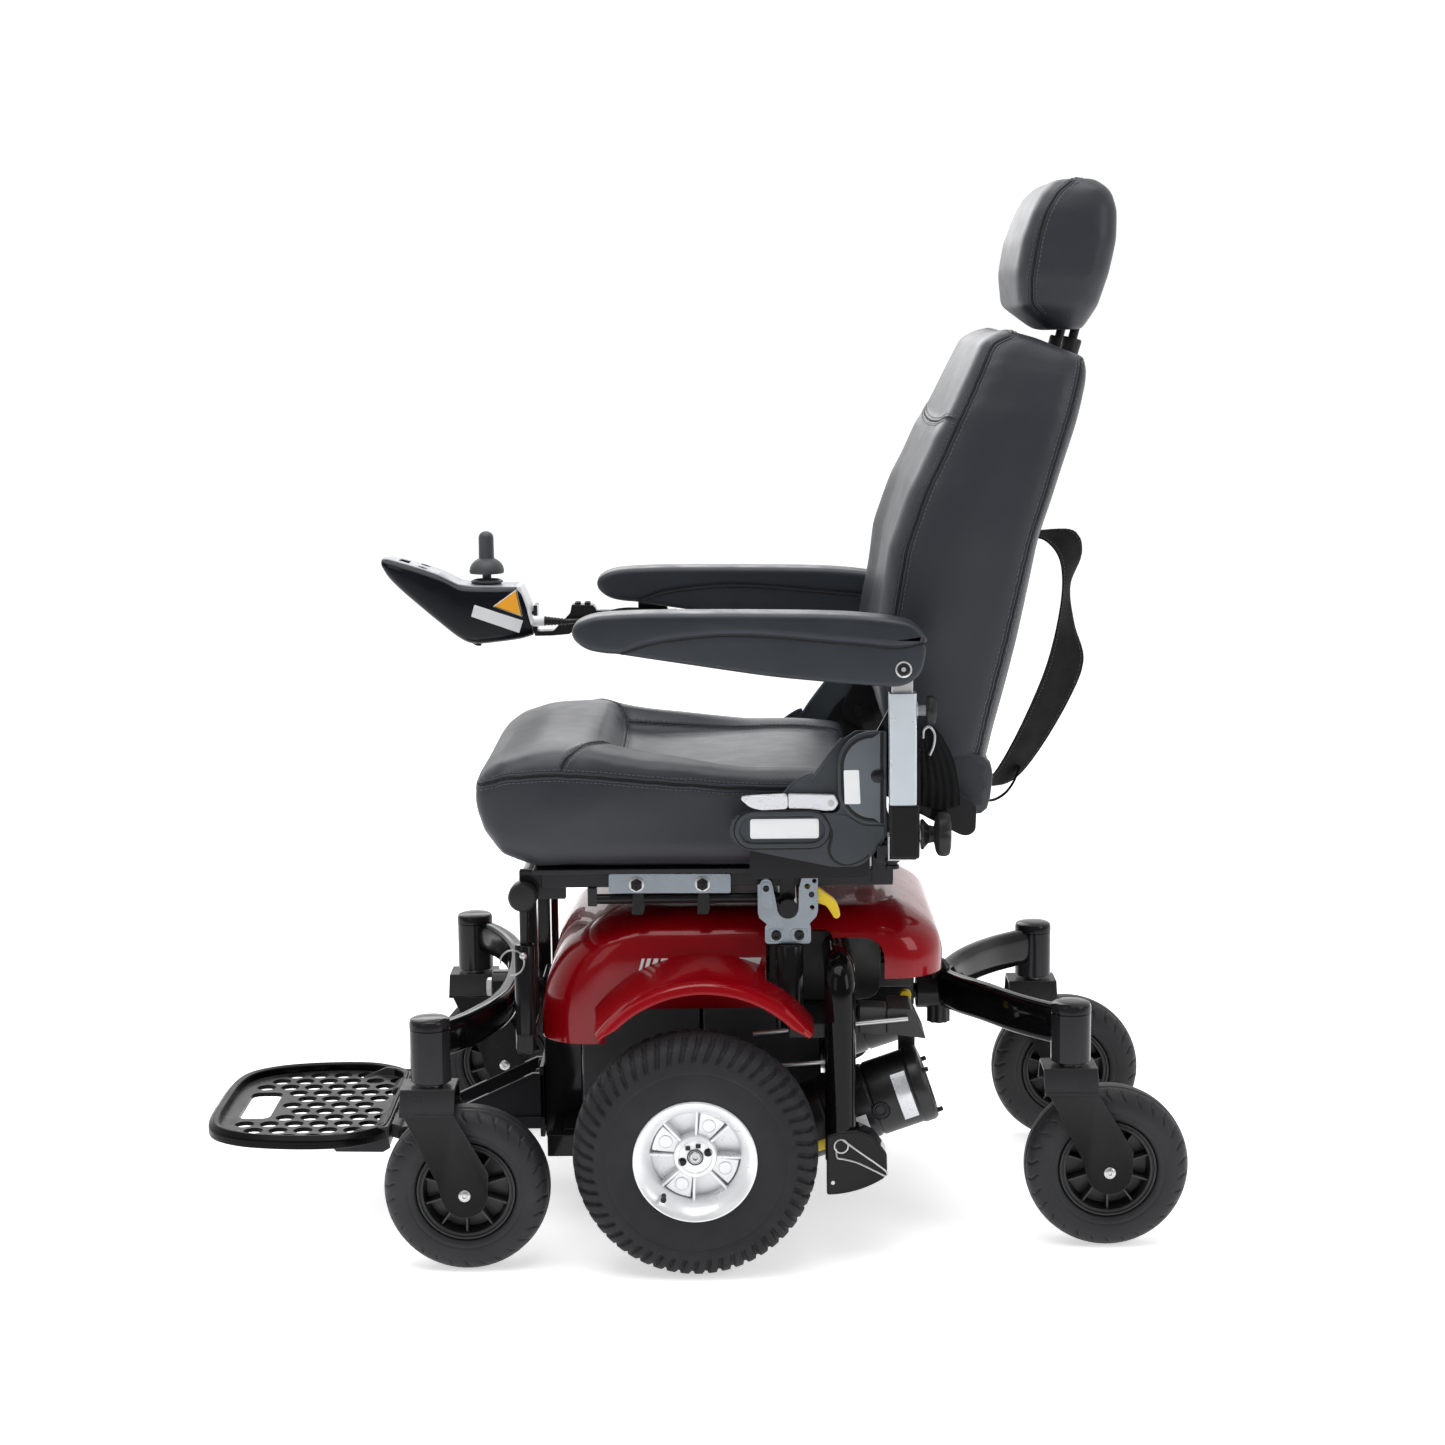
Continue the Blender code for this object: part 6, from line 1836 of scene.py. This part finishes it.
def keypad_point(x, along, lift):
    """A point on the sloping keypad: x across, along towards the tip, lift off its face."""
    foot = joint_spot("speed_rock")
    slope = Vector((0, *Vector(JOINTS["speed_rock"]["axis"]).yz))
    slope = slope if slope.y < 0 else -slope
    normal = Vector((0, slope.z, -slope.y))
    centre = foot - slope * 48
    return centre + Vector((x, 0, 0)) + slope * along + normal * lift


def keypad_block(bm, outline, x, along, lifts):
    """A form on the keypad between two heights, its outline given from a point on the keypad."""
    skin(bm, [[keypad_point(x + a, along + b, lift) for a, b in outline] for lift in lifts])


def controller():
    stick = joint_spot("joystick_side")
    x_mid = stick.x
    rings = []
    path = smooth_path([Vector((y, low, high)) for y, low, high, _ in SHELL], 4)
    widths = np.interp([p.x for p in path], [s[0] for s in SHELL], [s[3] for s in SHELL])
    for p, half in zip(path, widths):
        corner = min(9, (p.z - p.y) * 0.45)
        rings.append([(x_mid + x, p.x, z) for x, _, z in padded_ring((0, p.y), (0, p.z), half, corner)])
    bm = made(skin, rings)
    cut_piece("controller_shell", bm, key_pockets(stick, 19), "housing_black", "controller",
              ("controller_housing",))
    grey_face(x_mid, key_pockets(stick, 18.5))
    trim(x_mid)
    keypad_marks()
    bellows(stick)


def key_pockets(stick, stick_hole_r):
    """The holes for the stick, the two buttons and the rocker, to cut from the housing and its face."""
    bm = made(rod, (stick.x, stick.y, 662), (stick.x, stick.y, 700), stick_hole_r, 40)
    for x, along in ((-15, 24), (15, 24)):
        rod(bm, keypad_point(x, along, -5.5), keypad_point(x, along, 12), 6.3)
    corners = rounded([(-12.3, -6.3), (12.3, -6.3), (12.3, 6.3), (-12.3, 6.3)], 1.5)
    keypad_block(bm, corners, 0, 48, (-6, 12))
    return bm


def grey_face(x_mid, holes):
    """The light grey plate over the keypad and round the stick."""
    rings = []
    for y, _, high, half in SHELL[:9]:
        w = half - 5.5
        rings.append([(x_mid - w, y, high - 2.0), (x_mid + w, y, high - 2.0), (x_mid + w, y, high + 0.3),
                      (x_mid + w - 1.2, y, high + 1.1), (x_mid - w + 1.2, y, high + 1.1),
                      (x_mid - w, y, high + 0.3)])
    bm = made(skin, rings)
    cut_piece("controller_face", bm, holes, "grey_top", "controller", (), 0.4)


def trim(x_mid):
    edge = [(-217.5, 681.6), (-213.5, 681.2), (-204.5, 660), (-198, 640), (-198, 634), (-201, 634),
            (-207.5, 657), (-217.5, 677.5)]
    bm = made(plate, edge, (x_mid - 31.5, x_mid + 31.5))
    piece("controller_rear_trim", bm, "label", "controller", bevel=0.8, segments=3)
    bm = made(plate, [(-262.5, 616), (-262.5, 608.5), (-268, 608.8), (-276, 613), (-278, 618)],
              (x_mid - 26, x_mid + 26))
    piece("controller_fin", bm, "housing_black", "controller", bevel=0.8)
    for name, side in SIDES:
        face = side * 34.3
        flat = sorted((x_mid + face - side * 3, x_mid + face + side * 0.9))
        triangle = rounded([(-246.7, 657.6), (-217.5, 678.2), (-210.8, 644.9)], 1.5)
        bm = made(plate, triangle, flat)
        piece(f"{name}_reflector_rim", bm, "label", "controller", bevel=0.3)
        piece(f"{name}_reflector", made(plate, inset(triangle, 1.1), (flat[0] - 0.4, flat[1] + 0.4)),
              "amber", "controller", bevel=0.3)
        label = rounded([(-268.8, 660), (-210.5, 640), (-215.2, 625), (-273, 645.7)], 1)
        bm = made(plate, label, (flat[0], flat[1] - 0.1))
        piece(f"{name}_controller_label", bm, "label", "controller", bevel=0.2)
    plug_x = CABLE_ROUTE[0][0]
    bm = made(turned, [(5.2, 0), (6.4, 1), (6.4, 16), (5.6, 18)], (plug_x, -203, 638), 32, "Y")
    piece("cable_plug", bm, "label", "controller", bevel=0.4)


def keypad_marks():
    """Generic symbols: a row of charge bars and a raised frame round the rocker."""
    bm = bmesh.new()
    for i in range(5):
        keypad_block(bm, ((-2, -2.6), (2, -2.6), (2, 2.6), (-2, 2.6)), -12 + 6 * i, 64, (-1, 2.4))
    piece("charge_bars", bm, "label", "controller", bevel=0.3)
    frame_bm, hole = bmesh.new(), bmesh.new()
    outer = rounded([(-24, 11), (24, 11), (22, 72), (-22, 72)], 6)
    keypad_block(frame_bm, outer, 0, 0, (-1, 1.9))
    keypad_block(hole, inset(outer, 1.2), 0, 0, (-4, 6))
    cut_piece("keypad_frame", frame_bm, hole, "housing_black", "controller", (), 0.2)


def buttons():
    for name, x in (("power_button", -15), ("horn_button", 15)):
        start = keypad_point(x, 24, -3.4)
        lift = keypad_point(0, 0, 1) - keypad_point(0, 0, 0)
        bm = made(turned_along, [(5.7, 0), (5.7, 4.4), (5.2, 5.2), (4.0, 5.5)], start, lift, 40)
        piece(f"{name}_cap", bm, "button_grey", name, (name,), 0.2)
        mark = bmesh.new()
        if name == "power_button":
            circle = [keypad_point(x + 2.4 * math.cos(a), 24 + 2.4 * math.sin(a), 2.15)
                      for a in np.linspace(math.radians(125), math.radians(415), 24)]
            tube(mark, circle, 0.35, 6)
            tube(mark, [keypad_point(x, 24.4, 2.15), keypad_point(x, 27.6, 2.15)], 0.35, 6)
        else:
            horn = [(-3, -1), (-1, -1), (1.6, -2.8), (1.6, 2.8), (-1, 1), (-3, 1)]
            keypad_block(mark, horn, x, 24, (1.8, 2.35))
        piece(f"{name}_symbol", mark, "label", name)
    corners = rounded([(-11.4, -5.4), (11.4, -5.4), (11.4, 5.4), (-11.4, 5.4)], 1.2)
    bm = made(skin, [[keypad_point(x, 48 + s, lift - 0.35 * (1 - (x / 11.4) ** 2)) for x,
                      s in corners] for lift in (-3.4, 2.0)])
    piece("rocker_cap", bm, "button_grey", "speed_rocker", ("speed_rocker",), 0.5)
    mark = bmesh.new()
    for x, half_w, half_h in ((-7, 2, 0.45), (7, 2, 0.45), (7, 0.45, 2)):
        bar = ((-half_w, -half_h), (half_w, -half_h), (half_w, half_h), (-half_w, half_h))
        keypad_block(mark, bar, x, 48, (1.4, 2.35))
    piece("rocker_symbols", mark, "label", "speed_rocker")


def bellows(stick):
    base = stick.z
    bm = made(turned, [(14.6, 6.5), (20.2, 6.5), (20.2, 8.6), (16.5, 10.2), (19.6, 12.4), (19.6, 13.8),
                       (16, 15.6), (14.6, 15.6)], (stick.x, stick.y, base), 48, "Z", closed=True)
    piece("stick_bellows", bm, "stick_grey", "controller", bevel=0.6, segments=3)


def joystick():
    centre = joint_spot("joystick_side")
    bm = made(turned, [(3, -9), (6, -8), (6, -5.5), (3, -4.5)], centre, 32, "Z")
    piece("stick_gimbal", bm, "zinc", "joystick_gimbal", ("joystick_gimbal",), 0.3)
    dome = [(21.2 * math.cos(a), 25.5 + 17.5 * math.sin(a)) for a in np.linspace(0, math.radians(64), 9)]
    post = [(9.4, 44), (9.2, 60)] + [(9.2 * math.cos(a), 66 + 8.4 * math.sin(a))
                                      for a in np.linspace(0.0, math.radians(80), 7)]
    hollow = [(5.5, 0.6), (5.5, 31), (12, 30), (17, 27), (19, 23.5), (20.6, 22.8)]
    piece("stick_handle", made(turned, hollow + dome + post, centre, 64, "Z"), "stick_grey", "joystick",
          ("joystick",), 0.4, 3, 40)


def controller_mount():
    """The bar that slides in the clamp under the right pad, with its bolted shoulder in front."""
    x_mid = joint_spot("joystick_side").x - 5
    piece("mount_bar", made(box, (x_mid - 7, x_mid + 7), (-155, -24), (634, 648)), "black_paint",
          "controller", ("controller_mount",), 1.2)
    bm = made(plate, rounded([(-199, 617.6), (-199, 623.6), (-176, 624), (-166, 634), (-155, 645.5),
                              (-153, 656), (-127, 655), (-123, 650), (-123, 634.5), (-141, 633),
                              (-156, 619.5), (-178, 617.8)], 2), (x_mid - 11, x_mid + 11))
    piece("mount_shoulder", bm, "black_paint", "controller", bevel=1.2)
    bm = bmesh.new()
    for x, y in ((-5, -146), (5, -146), (-5, -134), (5, -134)):
        turned(bm, [(3.6, 0), (3.6, 2.6), (2.8, 3.4), (1.6, 3.4), (1.5, 1.4)], (x_mid + x, y, 655), 24, "Z")
    piece("mount_bolts", bm, "black_bolt", "controller", bevel=0.3)
    piece("mount_flange", made(box, (x_mid - 17, x_mid + 17), (-199.4, -194.5), (621, 656)), "black_paint",
          "controller", bevel=1.2)


CABLE_ROUTE = [(-237, -180.7, 638), (-237, -160, 637), (-236, -125, 640), (-235, -95, 650),
               (-235, -60, 649.8), (-235, 0, 642.2), (-235, 60, 634.5), (-235, 110, 628),
               (-235.5, 155, 621.5), (-236, 181, 616), (-236, 190, 618), (-236, 192, 625),
               (-236, 192, 631)]


def controller_cable():
    """The lead from the plug along the pad's underside, then up into the hole before the post."""
    path = smooth_path(CABLE_ROUTE, 3)
    cable = piece("controller_lead", made(tube, path, 3.0, 16), "cable", None, ("controller_cable",))
    relief, start = bmesh.new(), Vector(CABLE_ROUTE[0])
    profile = [(5.6, -5)]
    for i in range(7):
        size = 6.0 - 0.33 * i
        profile += [(size, -4.2 + 4 * i), (size, -2.2 + 4 * i), (size - 1.3, -1.8 + 4 * i)]
    turned_along(relief, profile + [(3.3, 26)], start, Vector(CABLE_ROUTE[1]) - start, 32)
    relief = piece("cable_relief", relief, "cable", "controller", bevel=0.2)
    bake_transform(cable)


# ---------------------------------------------------------------- stage, lights and camera

FLOOR_GLOW = 0.56
FAR_SKY, NEAR_SKY = 1.0, 0.18
CHAIR_MIDDLE = (0, 0, 0.6)


def fade_along_x(tree, coordinate, numbers, strength):
    """Fades a strength along X: numbers are two places, and the strengths before and beyond them."""
    spot = tree.nodes.new("ShaderNodeTexCoord")
    split = tree.nodes.new("ShaderNodeSeparateXYZ")
    fade = tree.nodes.new("ShaderNodeMapRange")
    for key, number in zip(("From Min", "From Max", "To Min", "To Max"), numbers):
        fade.inputs[key].default_value = number
    tree.links.new(spot.outputs[coordinate], split.inputs["Vector"])
    tree.links.new(split.outputs["X"], fade.inputs["Value"])
    tree.links.new(fade.outputs["Result"], strength)


def stage():
    """A floor that bends up into a wall on the chair's far side, and glows except near the camera."""
    bm = bmesh.new()
    half, bend = 9000, 2500
    profile = [(half, 0)] + [(-half + bend - bend * math.sin(math.radians(a)),
                              bend - bend * math.cos(math.radians(a))) for a in range(0, 91, 10)]
    profile.append((-half, half))
    rows = [[bm.verts.new((x, y, z)) for x, z in profile] for y in (-half, half)]
    for i in range(len(profile) - 1):
        bm.faces.new((rows[0][i], rows[0][i + 1], rows[1][i + 1], rows[1][i]))
    floor = in_scene("floor", finish_mesh(bm, "floor", 60))
    paper = material("studio_floor", (0.90, 0.90, 0.91), 0.55, "plain", mottle=0.01)
    glow = paper.node_tree.nodes["Principled BSDF"]
    glow.inputs["Emission Color"].default_value = (1.0, 1.0, 1.0, 1.0)
    fade_along_x(paper.node_tree, "Object", (1.0, 2.2, FLOOR_GLOW, 0.0), glow.inputs["Emission Strength"])
    glow.inputs["Specular IOR Level"].default_value = 0.0
    floor.data.materials.append(paper)


def area_light(name, place, size, power):
    """A soft box of a size in metres and a power in watts, turned to the chair's middle."""
    data = bpy.data.lights.new(name, "AREA")
    data.shape = "RECTANGLE"
    data.size, data.size_y = size
    data.energy = power
    light = in_scene(name, data)
    light.location = place
    light.rotation_euler = (Vector(CHAIR_MIDDLE) - Vector(place)).to_track_quat("-Z", "Y").to_euler()


def lights():
    """Four soft boxes and a world that is darker on the camera's side."""
    area_light("top_box", (0.4, -0.2, 3.2), (2.6, 3.4), 82)
    area_light("side_box", (3.4, -2.4, 2.2), (1.6, 2.4), 12)
    area_light("rear_box", (2.2, 3.2, 2.0), (1.4, 2.2), 30)
    area_light("far_box", (-3.0, -0.6, 2.2), (2.0, 2.0), 30)
    world = bpy.data.worlds.new("studio")
    world.use_nodes = True
    backdrop = world.node_tree.nodes["Background"]
    fade_along_x(world.node_tree, "Generated", (-0.5, 0.5, FAR_SKY, NEAR_SKY), backdrop.inputs["Strength"])
    backdrop.inputs["Color"].default_value = (1.0, 1.0, 1.0, 1.0)
    bpy.context.scene.world = world


def camera():
    """A long lens, level with the seat's back and about three metres to the sitter's left."""
    data = bpy.data.cameras.new("camera")
    data.sensor_width = 36.0
    data.lens = 67.25
    data.dof.use_dof = False
    eye = Vector((3.021, 0.0541 + AXLE_Y, 1.0126))
    yaw, pitch, roll = -0.0075, 0.1527, -0.0109
    ahead = Vector((-math.cos(pitch) * math.cos(yaw), math.cos(pitch) * math.sin(yaw), -math.sin(pitch)))
    right = ahead.cross(Vector((0, 0, 1))).normalized()
    up = right.cross(ahead)
    c, s = math.cos(roll), math.sin(roll)
    right, up = right * c + up * s, up * c - right * s
    turn = Matrix((right, up, -ahead)).transposed()
    cam = in_scene("camera", data)
    cam.matrix_world = Matrix.Translation(eye) @ turn.to_4x4()
    bpy.context.scene.camera = cam


# ---------------------------------------------------------------- assembly

bpy.context.scene.view_settings.view_transform = "Standard"
camera()
lights()
stage()
seat_cushion()
backrest()
headrest()
for side_name, side_sign in SIDES:
    drive_tyre(side_name, side_sign)
    drive_rim(side_name, side_sign)
    gearmotor(side_name, side_sign)
    freewheel_lever(side_name, side_sign)
    side_cover(side_name, side_sign)
    sleeve(side_name, side_sign)
    arm_post(side_name, side_sign)
    knobs(side_name)
    armrest(side_name, side_sign)
casters()
yokes()
frame_tubes()
shroud()
batteries()
footplate()
seat_frame()
latches()
recline_lever()
back_frame()
lap_belt()
controller()
buttons()
joystick()
controller_mount()
controller_cable()
node_slots = {part["node"]: part["material_slot"] for part in frame["record"]["subparts"]}
for node_name, obj in frame["nodes"].items():
    if not obj.hide_render:
        obj.data.materials.clear()
        obj.data.materials.append(LOOKS[node_slots[node_name]][0])
